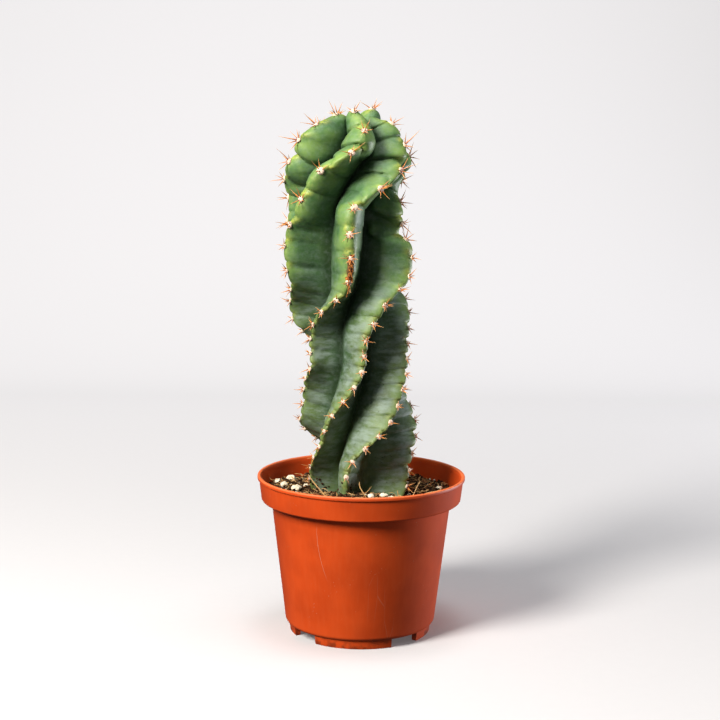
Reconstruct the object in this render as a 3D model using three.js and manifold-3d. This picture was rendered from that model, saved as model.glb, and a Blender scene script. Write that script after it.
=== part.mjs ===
// A spiral cereus cactus in its plastic nursery pot, with potting mix and perlite.
// Millimetres, +Z up. The origin is the centre of the pot's feet, on the surface that they stand on.
// The pot's front, where the photograph was taken from, faces -Y.
import * as THREE from "three";
import { mergeVertices } from "three/addons/utils/BufferGeometryUtils.js";
import Module from "manifold-3d";

const wasm = await Module();
wasm.setup();

// Pot: a 12 cm injection-moulded grower's pot.
const potHeight = 92;
const rimRadius = 59.6;
const lipRadius = 60.2;
const lipHeight = 2.2;
const bandHeight = 14.4;
const bandFootRadius = 57.8;
const bodyTopRadius = 52.1;
const bodyFootRadius = 43.4;
const wall = 1.3;
const footHeight = 5;
const footOuterRadius = 41.6;
const footInnerRadius = 38;
const footGapDegrees = 26;
const footTurnDegrees = -6;
const cornerRadius = 2.6;
const drainHoleRadius = 4;
const drainHoleRing = 33;
const potSides = 48;

// Potting mix.
const soilLevel = 81.3;
const soilClearance = 0.35;
const soilRelief = 0.9;
// Where the mix is piled up: x, y, millimetres, reach.
const soilPiles = [[-19, -38, 5.5, 17], [9, -38, 6, 17], [-47, 4, 3.5, 18]];
const areoleClearance = 3;
const crumbCount = 30;
const fibreCount = 10;

// Stem: the crest's radius, the rib turn and the lean of its middle line, by height.
const ribCount = 5;
const rootTip = 55;
const shoulder = 265;
const domeHeight = 36;
const apexDip = 8;
const apexDipReach = 8;
const valleyShare = 0.42;
const crestHalfWidthAt = curve([[80, 2.8], [150, 3.1], [185, 3.6], [208, 4.8], [262, 5.6], [290, 5.2]]);
const flankFlareAt = curve([[205, 1.25], [238, 1.8], [270, 1.5]]);
const ribLeanAt = curve([[205, 15], [238, 1], [300, 0]]);
const crestRadiusAt = curve([
  [55, 5], [64, 15], [74, 25], [84, 28.6], [100, 30.2], [118, 32.6], [135, 32], [150, 30.6],
  [166, 29.8], [182, 30.4], [197, 33], [215, 36], [235, 37], [265, 35],
]);
const ribTurnAt = curve([
  [55, -174], [90, -156], [105, -141], [121, -120], [139, -95], [157, -72], [175, -62], [183, -52],
  [191, -33], [199, -13], [208, -3], [222, 1], [238, 2], [247, 6], [256, 27], [266, 56], [283, 78],
  [300, 88],
]);
const middleAt = curve([
  [80, -0.6], [100, -1.4], [125, -2.4], [150, -2.8], [190, -4], [230, -8.4], [265, -9.4], [292, -6], [315, -4],
]);

// Single ribs that stray from the even star: rib, height, degrees, reach.
const ribStrays = [
  [0, 238, 32, 15], [1, 245, 17, 11], [1, 267, -12, 9], [1, 281, 6, 8], [1, 177, 24, 11], [2, 121, 14, 12],
  [2, 157, 9, 7], [3, 274, -34, 15], [3, 197, -17, 9], [3, 145, 8, 20], [3, 112, 15, 14], [4, 242, 14, 16],
  [4, 104, -10, 14], [4, 127, 3, 10], [0, 92, 12, 12], [1, 309, -22, 8], [3, 303, -18, 10],
];
// Single ribs that swell or shrink: rib, height, millimetres, reach.
const ribSwells = [
  [1, 184, 9, 12], [1, 214, 3, 18], [0, 290, 5, 9], [0, 255, 2, 12], [2, 119, 3, 9], [3, 250, -5, 12],
  [3, 258, -3, 5], [3, 233.5, -6.5, 5], [3, 277, 3, 12], [0, 118, 1.5, 16],
];
// Single crests that reach higher or lower on the dome: rib, height, millimetres, reach.
const ribRises = [[3, 302, 5, 8], [1, 309, 2.5, 7], [2, 306, -2, 6]];

// Areoles: their spacing along a crest, the notch above each one, and their spines.
const areoleSpacingAt = curve([
  [90, 9.6], [120, 10.6], [152, 10], [176, 8.8], [190, 12], [215, 13.6], [240, 13.2], [258, 18.5], [278, 19],
  [292, 16],
]);
const upperSpread = [0.85, 1.05, 1, 0.85, 0.9];
const startShare = [0.6, 0.43, 0.86, 0.29, 0.72];
const notchDepthAt = curve([
  [80, 0.5], [96, 1.9], [130, 2.4], [180, 2.3], [202, 1.6], [228, 1.5], [246, 1.9], [262, 2.6], [282, 3.4],
  [310, 2],
]);
const foldFadeAt = curve([[100, 2.5], [230, 4], [262, 1.6], [285, 1.2]]);
const foldSlopeAt = curve([[100, 0.25], [190, 0.15], [250, 0.1], [280, 0.1]]);
const foldTilt = 0.6;
const swellPeak = 0.6;
const flankFullnessAt = curve([[190, 0], [235, 0.8], [262, 2.2], [290, 2.6], [315, 1]]);
const flankSwellAt = curve([
  [88, 0], [102, 0.7], [190, 0.75], [240, 0.9], [262, 2.6], [290, 3], [315, 1.5],
]);
// Single folds that are deeper or shallower than their neighbours: rib, height, change, reach.
const ribFolds = [
  [0, 289, -0.9, 5], [0, 300, -0.85, 6], [0, 276.8, 0.6, 5], [1, 282, 0.3, 4], [2, 273, 0.6, 4],
  [2, 288, -0.2, 8], [0, 112, 0.8, 16], [3, 256, 0.4, 4], [3, 244.4, 1.2, 4], [3, 233.7, 0.7, 6], [3, 223.5, -0.7, 4],
  [3, 213.5, -0.5, 4],
];
// Single creases and swellings across a flank: rib, height, millimetres, reach, climb to the valley.
const flankCreases = [
  [3, 234.5, -4.5, 2.6, 9], [3, 227.5, 4.5, 5.5, 9], [3, 242, 2, 4, 9], [1, 214, -0.9, 1.6, -4],
  [1, 236, -0.8, 1.6, -5], [1, 199, -0.7, 1.6, -4],
];
const firstAreole = 84;
const notchAbove = 0.37;
const padRadius = 1.8;
const padEdge = 0.35;
const padRise = 0.9;
const spineRootShare = 0.45;
const spineLengthAt = curve([[80, 5], [180, 6], [240, 8.5], [285, 10.5], [309, 8.6]]);
const radialLengthShare = 0.8;
// The tilt of the spine on each facet of a pad, counterclockwise from the right. Null has no spine.
const spineLeans = [68, null, 60, null, 68, 24];
const ribSides = [-1, -0.95, -0.62, 0, 0.62, 0.95];
const ringStep = 3.3;

// A smooth curve through [at, value] points, level past its ends.
function curve(points) {
  const slope = points.map((p, i) => {
    const a = points[Math.max(0, i - 1)];
    const b = points[Math.min(points.length - 1, i + 1)];
    return i === 0 || i === points.length - 1 ? 0 : (b[1] - a[1]) / (b[0] - a[0]);
  });
  return (x) => {
    if (x <= points[0][0]) return points[0][1];
    const i = points.findIndex((p) => p[0] > x) - 1;
    if (i < 0) return points[points.length - 1][1];
    const [x0, y0] = points[i];
    const [x1, y1] = points[i + 1];
    const w = x1 - x0;
    const t = (x - x0) / w;
    const rise = t * t * (3 - 2 * t);
    return y0 + (y1 - y0) * rise + w * (slope[i] * t * (1 - t) ** 2 - slope[i + 1] * t * t * (1 - t));
  };
}

// Seeded random numbers from 0 to 1.
function randomFrom(seed) {
  let state = seed;
  return () => {
    state = (state * 1664525 + 1013904223) % 4294967296;
    return state / 4294967296;
  };
}

const radians = (degrees) => (degrees * Math.PI) / 180;
const bell = (x) => Math.exp(-x * x);
const clamp = (x, low, high) => Math.min(high, Math.max(low, x));

// Rises from 0 at low to 1 at high.
function smooth(low, high, x) {
  const t = clamp((x - low) / (high - low), 0, 1);
  return t * t * (3 - 2 * t);
}

function solidOf(geometry) {
  const bare = geometry.index ? geometry.toNonIndexed() : geometry.clone();
  bare.deleteAttribute("normal");
  bare.deleteAttribute("uv");
  const merged = mergeVertices(bare, 1e-4);
  return new wasm.Manifold(
    new wasm.Mesh({
      numProp: 3,
      vertProperties: merged.attributes.position.array,
      triVerts: new Uint32Array(merged.index.array),
    }),
  );
}

const joined = (geometries) => wasm.Manifold.union(geometries.map(solidOf));

function geometryOf(solid) {
  const mesh = solid.getMesh();
  const positions = new Float32Array(mesh.numVert * 3);
  for (let i = 0; i < mesh.numVert; i++)
    positions.set(mesh.vertProperties.subarray(i * mesh.numProp, i * mesh.numProp + 3), i * 3);
  const geometry = new THREE.BufferGeometry();
  geometry.setAttribute("position", new THREE.BufferAttribute(positions, 3));
  geometry.setIndex(new THREE.BufferAttribute(new Uint32Array(mesh.triVerts), 1));
  geometry.computeVertexNormals();
  return geometry;
}

// A lathe about Z from [radius, height] points.
function turned(profile, sides) {
  const lathe = new THREE.LatheGeometry(profile.map(([r, z]) => new THREE.Vector2(r, z)), sides);
  return lathe.rotateX(Math.PI / 2);
}

// A closed skin over rings of points that go counterclockwise seen from above, with a point at each end.
function skin(rings, low, high) {
  const around = rings[0].length;
  const points = [low, ...rings.flat(), high];
  const faces = [];
  for (let i = 0; i < around; i++) {
    const j = (i + 1) % around;
    faces.push(0, 1 + j, 1 + i);
    for (let n = 0; n < rings.length - 1; n++) {
      const a = 1 + n * around;
      const b = a + around;
      faces.push(a + i, a + j, b + j, a + i, b + j, b + i);
    }
    const last = 1 + (rings.length - 1) * around;
    faces.push(last + i, last + j, points.length - 1);
  }
  const geometry = new THREE.BufferGeometry();
  geometry.setAttribute("position", new THREE.Float32BufferAttribute(points.flatMap((p) => p.toArray()), 3));
  geometry.setIndex(faces);
  return geometry;
}

// The direction of a rib's crest, in radians, counterclockwise from the front as seen from above.
function ribAngle(rib, height) {
  let degrees = ribTurnAt(height) + (rib - 2) * (360 / ribCount);
  const home = ((rib % ribCount) + ribCount) % ribCount;
  for (const [strayRib, at, amount, reach] of ribStrays)
    if (strayRib === home) degrees += amount * bell((height - at) / reach);
  return radians(degrees);
}

// The radius and height of a rib's crest and of the valleys beside it. Past the shoulder both close over the top.
function meridian(rib, height) {
  const over = Math.max(0, height - shoulder) / domeHeight;
  let crest = crestRadiusAt(height) * Math.cos(over);
  for (const [swellRib, at, amount, reach] of ribSwells)
    if (swellRib === rib) crest += amount * bell((height - at) / reach) * Math.cos(over);
  const round = Math.min(1, Math.max(0, (soilLevel - height) / 18));
  const valley = crestRadiusAt(height) * (valleyShare + (0.9 - valleyShare) * round) * Math.cos(over);
  const base = Math.min(height, shoulder);
  let crestHeight = base + domeHeight * Math.sin(over) - (over > 0 ? apexDip * bell(crest / apexDipReach) : 0);
  for (const [riseRib, at, amount, reach] of ribRises)
    if (riseRib === rib) crestHeight += amount * bell((height - at) / reach);
  return {
    crest,
    valley,
    crestHeight,
    valleyHeight: base + (domeHeight - apexDip) * Math.sin(over),
    shrink: Math.cos(over),
  };
}

const middle = (height) => middleAt(height > shoulder ? shoulder + domeHeight * Math.sin((height - shoulder) / domeHeight) : height);

function crestPoint(rib, height, extra = 0) {
  const line = meridian(rib, height);
  const angle = ribAngle(rib, height);
  const r = line.crest + extra;
  return new THREE.Vector3(middle(height) + r * Math.sin(angle), -r * Math.cos(angle), line.crestHeight);
}

// The heights of the areoles on each rib, spaced along its crest.
const stemTop = shoulder + (domeHeight * Math.PI) / 2;
const lastAreole = stemTop - 9;
const areoles = [];
for (let rib = 0; rib < ribCount; rib++) {
  const heights = [];
  let run = areoleSpacingAt(firstAreole) * startShare[rib];
  let before = crestPoint(rib, firstAreole);
  for (let height = firstAreole; height < lastAreole; height += 0.25) {
    const here = crestPoint(rib, height);
    const spacing = areoleSpacingAt(height) * (height > 205 ? upperSpread[rib] : 1);
    run += here.distanceTo(before);
    before = here;
    if (run >= spacing) {
      heights.push(height);
      run -= spacing;
    }
  }
  areoles.push(heights);
}

// 0 in the fold above an areole and 1 on the swelling that bulges out over the fold.
function tubercle(rib, height) {
  const heights = areoles[rib];
  let upper = heights.findIndex((h) => h > height);
  if (upper < 0) upper = heights.length;
  const low = heights[upper - 1] ?? heights[0] - 9;
  const high = heights[upper] ?? heights[heights.length - 1] + 9;
  const share = clamp((height - low) / (high - low), 0, 1);
  return Math.sin(Math.PI * ((share + 1 - notchAbove) % 1) ** swellPeak) ** 0.7;
}

function foldStrength(rib, height) {
  let strength = 1;
  for (const [foldRib, at, change, reach] of ribFolds)
    if (foldRib === rib) strength += change * bell((height - at) / reach);
  return strength;
}

// How much wider a flank is for the creases and swellings that cross it.
function creaseWidth(rib, height, out) {
  let width = 0;
  for (const [creaseRib, at, amount, reach, climb] of flankCreases)
    if (creaseRib === rib) width += amount * bell((height - climb * (1 - out) - at) / reach);
  return width;
}

// How far a crest runs sideways for each millimetre that it climbs.
function twist(rib, height) {
  const turn = ribAngle(rib, height + 1) - ribAngle(rib, height - 1);
  return clamp((turn / 2) * crestRadiusAt(height), -1.2, 1.2);
}

// A point of the stem's skin. side goes from -1, in the valley before a rib, over 0, on its crest, to 1.
// The folds cross a rib squarely, so they tilt where it winds. A grown skin has none.
function stemPoint(rib, side, height, grown = 0) {
  const line = meridian(rib, height);
  const here = ribAngle(rib, height);
  const next = ribAngle(rib + Math.sign(side || 1), height);
  const toValley = Math.abs(next - here) / 2;
  const out = crestShare(Math.abs(side));
  const crest = line.crest + grown;
  const valley = line.valley + grown;
  const foot = valley * Math.sin(toValley);
  const half = crestHalfWidthAt(height) * Math.min(1, crest / 15);
  const round = Math.sqrt(1 - out ** 4);
  const fullness = flankFullnessAt(height) * line.shrink * Math.sin(Math.PI * out) ** 0.8;
  const plain = half * round + (foot - half) * (1 - out) ** flankFlareAt(height) + fullness;
  const fall = foldSlopeAt(height) * (1 - out) * (line.crest - line.valley);
  const tilt = foldTilt * Math.sign(side) * plain * twist(rib, height) * line.shrink;
  const lobe = tubercle(rib, height + fall + tilt);
  const depth = foldStrength(rib, height + fall + tilt) * line.shrink * (grown ? 0 : 1);
  const notch = notchDepthAt(height) * depth * (1 - lobe) * out ** (1 + foldFadeAt(height));
  const r = Math.max(valley, valley + out * (crest - valley) - notch);
  const creases = grown ? 0 : creaseWidth(rib, height, out) * line.shrink;
  const swell = (flankSwellAt(height) * depth * (lobe - 0.55) + creases) * round * smooth(0, 0.45, out);
  const width = plain + swell * Math.min(1, crest / 15) + grown * (1 - out);
  const limit = toValley * (1 - 0.12 * out);
  const spread = out === 0 ? toValley : Math.min(limit, Math.asin(clamp(width / Math.max(r, 1e-6), 0, 1)));
  const buried = clamp((height - rootTip) / (soilLevel - rootTip), 0, 1);
  const lean = radians(ribLeanAt(height)) * line.shrink * (out - 1) * buried;
  const angle = here + Math.sign(side) * spread + lean;
  return new THREE.Vector3(
    middle(height) + r * Math.sin(angle),
    -r * Math.cos(angle),
    line.valleyHeight + out * (line.crestHeight - line.valleyHeight),
  );
}

// How far out from valley to crest a point across a rib lies.
const crestShare = (side) => Math.sqrt(1 - Math.min(1, side) ** 2) ** 0.8;

// Ring heights whose crests lie one step apart along a rib. Below the soil the steps are longer.
function ringHeights(from, to) {
  const heights = [];
  let height = from;
  while (height < to) {
    heights.push(height);
    const turn = ribAngle(2, height + 1) - ribAngle(2, height);
    height += height < soilLevel - 4 ? 5 : ringStep / Math.hypot(1, turn * crestRadiusAt(height));
  }
  return heights;
}

// The stem's points in rings from its foot to its top, each ring rib by rib.
function stemRings(heights, grown = 0) {
  return heights.map((height) => {
    const ring = [];
    for (let rib = 0; rib < ribCount; rib++)
      for (const side of ribSides) ring.push(stemPoint(rib, side, height, grown));
    return ring;
  });
}

const stemFoot = new THREE.Vector3(middle(rootTip), 0, rootTip - 1.5);
const stemApex = new THREE.Vector3(middle(stemTop), 0, meridian(0, stemTop).valleyHeight);

// The stem in one skin. At an areole the crest's point is opened into a low woolly pad with spines.
function buildStem() {
  const heights = ringHeights(rootTip, stemTop - 1.5);
  const rings = stemRings(heights);
  const seats = new Map();
  const across = rings[0].length;
  for (let rib = 0; rib < ribCount; rib++)
    for (const height of areoles[rib]) {
      if (isBuried(rib, height)) continue;
      const ring = nearest(heights, height);
      const column = rib * ribSides.length + ribSides.indexOf(0);
      rings[ring][column] = stemPoint(rib, 0, height);
      seats.set(1 + ring * across + column, { rib, height, ring, column });
    }
  const bare = skin(rings, stemFoot, stemApex);
  const places = bare.attributes.position.array;
  const points = [];
  for (let i = 0; i < places.length; i += 3) points.push(new THREE.Vector3(...places.slice(i, i + 3)));
  const faces = [];
  const index = bare.index.array;
  for (let i = 0; i < index.length; i += 3)
    if (![0, 1, 2].some((k) => seats.has(index[i + k]))) faces.push(index[i], index[i + 1], index[i + 2]);
  const random = randomFrom(27);
  for (const { rib, height, ring, column } of seats.values()) {
    const at = (up, right) => 1 + (ring + up) * across + ((column + right + across) % across);
    const border = [at(0, 1), at(1, 1), at(1, 0), at(0, -1), at(-1, -1), at(-1, 0)];
    addAreole(points, faces, border, areoleFrame(rib, height), spineLengthAt(height), random);
  }
  const geometry = new THREE.BufferGeometry();
  geometry.setAttribute("position", new THREE.Float32BufferAttribute(points.flatMap((p) => p.toArray()), 3));
  geometry.setIndex(faces);
  return geometryOf(solidOf(geometry));
}

const nearest = (heights, height) =>
  heights.reduce((best, h, i) => (Math.abs(h - height) < Math.abs(heights[best] - height) ? i : best), 0);

// Whether an areole lies so low that the mix would cover its spines.
function isBuried(rib, height) {
  const seat = crestPoint(rib, height, spineLengthAt(height) / 2);
  return height < soilHeight(seat.x, seat.y) + areoleClearance;
}

// The areole's frame: its seat on the crest, across the crest, along it upwards and straight out of it.
function areoleFrame(rib, height) {
  const along = crestPoint(rib, height + 1).sub(crestPoint(rib, height - 1)).normalize();
  const angle = ribAngle(rib, height);
  const lift = height > shoulder ? Math.tan(Math.min(1.35, (height - shoulder) / domeHeight)) : 0.1;
  const out = new THREE.Vector3(Math.sin(angle), -Math.cos(angle), lift);
  out.addScaledVector(along, -out.dot(along)).normalize();
  const across = new THREE.Vector3().crossVectors(along, out);
  return { seat: stemPoint(rib, 0, height), along, across, out };
}

// A pad inside the six border points around a seat. Four of its six facets are drawn out into spines.
function addAreole(points, faces, border, { seat, along, across, out }, length, random) {
  const add = (point) => points.push(point) - 1;
  const rim = border.map((corner) => {
    const away = points[corner].clone().sub(seat);
    const share = Math.min(0.55, padRadius / away.length());
    return add(seat.clone().addScaledVector(away, share).addScaledVector(out, padEdge));
  });
  const top = add(seat.clone().addScaledVector(out, padRise));
  for (let k = 0; k < 6; k++) {
    const n = (k + 1) % 6;
    faces.push(border[k], border[n], rim[n], border[k], rim[n], rim[k]);
    const lean = spineLeans[k];
    if (lean === null) {
      faces.push(rim[k], rim[n], top);
      continue;
    }
    const facet = [rim[k], rim[n], top];
    const centre = new THREE.Vector3();
    for (const corner of facet) centre.addScaledVector(points[corner], 1 / 3);
    const root = facet.map((corner) => add(centre.clone().lerp(points[corner], spineRootShare)));
    const aside = centre.clone().sub(seat);
    const around = Math.atan2(aside.dot(along), aside.dot(across)) + radians(24 * (random() - 0.5));
    const tilt = radians(lean + 12 * (random() - 0.5));
    const reach = length * (0.82 + 0.36 * random()) * (lean < 40 ? 1 : radialLengthShare);
    const tip = centre.clone().addScaledVector(out, reach * Math.cos(tilt));
    tip.addScaledVector(across, reach * Math.sin(tilt) * Math.cos(around));
    tip.addScaledVector(along, reach * Math.sin(tilt) * Math.sin(around));
    const end = add(tip);
    for (let e = 0; e < 3; e++) {
      const f = (e + 1) % 3;
      faces.push(facet[e], facet[f], root[f], facet[e], root[f], root[e], root[e], root[f], end);
    }
  }
}

// The pot's outside from its foot up over the lip, and its inside back down.
const bodyRadiusAt = (z) => bodyFootRadius + ((z - footHeight) * (bodyTopRadius - bodyFootRadius)) / (potHeight - bandHeight - footHeight);
const bandFoot = potHeight - bandHeight;
const floorHeight = footHeight + wall + 0.3;

function buildPot() {
  const corner = [0, 30, 60, 90].map((degrees) => [
    bodyFootRadius - cornerRadius * (1 - Math.sin(radians(degrees))),
    footHeight + cornerRadius * (1 - Math.cos(radians(degrees))),
  ]);
  const profile = [
    [0, footHeight],
    ...corner,
    [bodyRadiusAt(bandFoot), bandFoot],
    [bandFootRadius - 0.8, bandFoot],
    [bandFootRadius, bandFoot + 0.8],
    [rimRadius - 0.4, potHeight - lipHeight],
    [lipRadius, potHeight - lipHeight + 0.5],
    [lipRadius, potHeight - 0.6],
    [lipRadius - 0.6, potHeight],
    [lipRadius - wall - 0.5, potHeight],
    [rimRadius - wall - 0.6, potHeight - lipHeight],
    [bandFootRadius - wall, bandFoot + wall],
    [bodyRadiusAt(bandFoot) - wall, bandFoot + wall - 0.4],
    [bodyRadiusAt(floorHeight) - wall, floorHeight + 1.5],
    [bodyRadiusAt(floorHeight) - wall - 1.5, floorHeight],
    [0, floorHeight],
  ];
  let pot = solidOf(turned(profile, potSides));
  const gap = radians(footGapDegrees);
  for (let foot = 0; foot < 4; foot++) {
    const middleAngle = radians(footTurnDegrees + foot * 90) - Math.PI / 2;
    pot = pot.add(solidOf(footPiece(middleAngle, Math.PI / 2 - gap)));
    const holeAngle = middleAngle + Math.PI / 4;
    const hole = new THREE.CylinderGeometry(drainHoleRadius, drainHoleRadius, 10, 20).rotateX(Math.PI / 2);
    hole.translate(drainHoleRing * Math.cos(holeAngle), drainHoleRing * Math.sin(holeAngle), footHeight);
    pot = pot.subtract(solidOf(hole));
  }
  const centreHole = new THREE.CylinderGeometry(drainHoleRadius, drainHoleRadius, 10, 20).rotateX(Math.PI / 2);
  return geometryOf(pot.subtract(solidOf(centreHole.translate(0, 0, footHeight))));
}

// One foot: a curved bar under the pot's edge, with ends that slope in towards the ground.
function footPiece(angle, width) {
  const steps = 9;
  const ends = 0.055;
  const top = footHeight + 0.6;
  const taper = 0.7;
  const rows = [
    [footOuterRadius - taper, 0, ends],
    [footOuterRadius, top, 0],
    [footInnerRadius, top, 0],
    [footInnerRadius, 0, ends],
  ];
  const points = [];
  for (let i = 0; i <= steps; i++)
    for (const [r, z, inset] of rows) {
      const a = angle + (i / steps - 0.5) * (width - 2 * inset);
      points.push(r * Math.cos(a), r * Math.sin(a), z);
    }
  const faces = [0, 1, 2, 0, 2, 3];
  for (let i = 0; i < steps; i++)
    for (let k = 0; k < 4; k++) {
      const a = i * 4 + k;
      const b = i * 4 + ((k + 1) % 4);
      faces.push(a, a + 4, b + 4, a, b + 4, b);
    }
  const e = steps * 4;
  faces.push(e, e + 2, e + 1, e, e + 3, e + 2);
  const geometry = new THREE.BufferGeometry();
  geometry.setAttribute("position", new THREE.Float32BufferAttribute(points, 3));
  geometry.setIndex(faces);
  return geometry;
}

// The potting mix: the pot's inside with an uneven top, crumbs and fibres, and a hole for the stem's foot.
function buildSoil() {
  const sides = 36;
  const inner = (z) => bodyRadiusAt(z) - wall - soilClearance;
  const bottom = floorHeight + soilClearance;
  const topRadius = bandFootRadius - wall - soilClearance - 0.1;
  const wallRings = [
    [inner(bottom) - 1.8, bottom],
    [inner(bottom + 1.8), bottom + 1.8],
    [inner(bandFoot), bandFoot + wall + 0.1],
    [topRadius, bandFoot + wall + soilClearance + 0.1],
  ];
  const topRings = [52, 48, 44, 40, 36, 32, 26, 14];
  const ring = (r, heightOf) =>
    Array.from({ length: sides }, (_, i) => {
      const a = (i / sides) * 2 * Math.PI;
      return new THREE.Vector3(r * Math.cos(a), r * Math.sin(a), heightOf(r * Math.cos(a), r * Math.sin(a)));
    });
  const rings = [
    ...wallRings.map(([r, z]) => ring(r, () => z)),
    ring(topRadius, (x, y) => soilHeight(x, y) - 0.7),
    ...topRings.map((r) => ring(Math.min(r, topRadius - 2), soilHeight)),
  ];
  const pieces = [skin(rings, new THREE.Vector3(0, 0, bottom), new THREE.Vector3(0, 0, soilLevel))];
  const random = randomFrom(5);
  for (let i = 0; i < crumbCount; i++) pieces.push(crumb(random, topRadius));
  for (let i = 0; i < fibreCount; i++) pieces.push(fibre(random, topRadius));
  const heights = ringHeights(rootTip, soilLevel + 12);
  const top = new THREE.Vector3(0, 0, heights[heights.length - 1]);
  const room = skin(stemRings(heights, 0.6), stemFoot.clone().add(new THREE.Vector3(0, 0, -0.6)), top);
  let soil = joined(pieces).subtract(solidOf(room));
  perliteGrains.forEach((grain, index) => (soil = soil.subtract(solidOf(grainShape(grain, index, grainGap)))));
  // Slivers that the cuts leave loose are dropped.
  soil = soil.decompose().reduce((best, piece) => (piece.volume() > best.volume() ? piece : best));
  return geometryOf(soil);
}

function soilHeight(x, y) {
  const wave = Math.sin(x * 0.21 + 1.3) * Math.cos(y * 0.17) + 0.5 * Math.sin(x * 0.47 - y * 0.39);
  let height = soilLevel + soilRelief * wave * 0.8;
  for (const [pileX, pileY, rise, reach] of soilPiles)
    height += rise * bell(Math.hypot(x - pileX, y - pileY) / reach);
  return height;
}

// A place on the bare ring of soil between the stem and the pot, away from the grains.
function soilPlace(random, topRadius, margin) {
  for (;;) {
    const a = random() * 2 * Math.PI;
    const r = 36 + margin + random() * (topRadius - 38 - 2 * margin);
    const place = [r * Math.cos(a), r * Math.sin(a)];
    const clear = perliteGrains.every(([x, y, size]) => Math.hypot(x - place[0], y - place[1]) > size + margin + 1.5);
    if (clear) return place;
  }
}

function crumb(random, topRadius) {
  const [x, y] = soilPlace(random, topRadius, 1.5);
  const size = 1.1 + 1.3 * random();
  const piece = new THREE.OctahedronGeometry(size).rotateX(random() * 3).rotateY(random() * 3);
  return piece.scale(1.2, 1, 0.75).translate(x, y, soilHeight(x, y) + 0.05 * size);
}

function fibre(random, topRadius) {
  const [x, y] = soilPlace(random, topRadius, 4);
  const length = 6 + 5 * random();
  const piece = new THREE.CylinderGeometry(0.35, 0.5, length, 4).rotateZ(Math.PI / 2);
  piece.rotateY(-0.15 - 0.25 * random()).rotateZ(random() * 2 * Math.PI);
  return piece.translate(x, y, soilHeight(x, y) + 0.5);
}

// Perlite grains that lie in the mix: x, y, size.
const grainLift = 0.35;
const grainGap = 0.3;
const perliteGrains = [
  [-41.5, 19.5, 3.3], [-37.5, -4.5, 2.9], [-45, 1.5, 2.5], [-49, 10, 2.4], [5.5, -41.5, 2.4],
  [12.5, -38, 2.7], [19.5, -40.5, 2.1], [36, -28, 2.6], [46, 10, 2.2], [20, 40, 3.2], [-12, 43, 2.8],
  [-27, 38, 2.6],
];

// A grain, lying a little way into the mix. grown makes it larger all round.
function grainShape([x, y, size], index, grown = 0) {
  const random = randomFrom(70 + index * 13);
  const grain = mergeVertices(withoutShading(new THREE.IcosahedronGeometry(size, 0)), 1e-3);
  const place = grain.attributes.position;
  const point = new THREE.Vector3();
  for (let i = 0; i < place.count; i++) {
    point.fromBufferAttribute(place, i).multiplyScalar(0.84 + 0.3 * random() + grown / size);
    place.setXYZ(i, point.x * 1.15, point.y, point.z * 0.85);
  }
  return grain.rotateZ(random() * 6).translate(x, y, soilHeight(x, y) + grainLift * size);
}

function withoutShading(geometry) {
  geometry.deleteAttribute("normal");
  geometry.deleteAttribute("uv");
  return geometry;
}

const finishes = {
  potPlastic: new THREE.MeshStandardMaterial({ color: 0xc4471f, roughness: 0.42, metalness: 0 }),
  pottingMix: new THREE.MeshStandardMaterial({ color: 0x3b2a20, roughness: 0.95, metalness: 0 }),
  stemSkin: new THREE.MeshStandardMaterial({ color: 0x4b7a4c, roughness: 0.5, metalness: 0 }),
  perlite: new THREE.MeshStandardMaterial({ color: 0xe9e0cd, roughness: 0.9, metalness: 0 }),
};

function named(name, geometry, finish) {
  const mesh = new THREE.Mesh(geometry, finish);
  mesh.name = name;
  return mesh;
}

const plant = new THREE.Group();
plant.add(named("pot", buildPot(), finishes.potPlastic));
plant.add(named("potting_mix", buildSoil(), finishes.pottingMix));
plant.add(named("cereus_stem", buildStem(), finishes.stemSkin));
perliteGrains.forEach((grain, index) => {
  plant.add(named("perlite_grain_" + (index + 1), grainShape(grain, index), finishes.perlite));
});

export default plant;
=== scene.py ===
import math
import random
from functools import lru_cache

import bmesh
import bpy
from mathutils import Matrix, Vector, noise
from mathutils.bvhtree import BVHTree


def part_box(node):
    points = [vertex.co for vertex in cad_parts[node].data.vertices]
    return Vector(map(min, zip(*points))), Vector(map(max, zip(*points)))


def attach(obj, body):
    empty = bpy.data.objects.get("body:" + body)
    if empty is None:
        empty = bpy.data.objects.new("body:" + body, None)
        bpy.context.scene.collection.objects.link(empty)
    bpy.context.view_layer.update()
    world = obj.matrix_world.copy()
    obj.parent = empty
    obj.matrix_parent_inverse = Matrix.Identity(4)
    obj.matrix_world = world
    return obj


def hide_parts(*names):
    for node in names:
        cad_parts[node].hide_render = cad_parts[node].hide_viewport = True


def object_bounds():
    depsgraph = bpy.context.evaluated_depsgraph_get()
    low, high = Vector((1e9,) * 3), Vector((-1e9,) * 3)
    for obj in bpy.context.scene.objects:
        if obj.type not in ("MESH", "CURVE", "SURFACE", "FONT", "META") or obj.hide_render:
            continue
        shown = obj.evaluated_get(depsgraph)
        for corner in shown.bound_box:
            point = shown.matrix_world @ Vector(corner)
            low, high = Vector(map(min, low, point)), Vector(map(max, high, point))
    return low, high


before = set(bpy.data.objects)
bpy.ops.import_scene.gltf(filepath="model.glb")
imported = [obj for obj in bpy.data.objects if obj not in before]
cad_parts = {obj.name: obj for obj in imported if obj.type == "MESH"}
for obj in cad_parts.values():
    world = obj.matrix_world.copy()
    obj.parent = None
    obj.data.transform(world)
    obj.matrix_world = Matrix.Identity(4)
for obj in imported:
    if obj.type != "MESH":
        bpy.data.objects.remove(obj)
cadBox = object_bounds()
mm = 0.001
weldDistance = 1e-4


# Helpers

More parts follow.
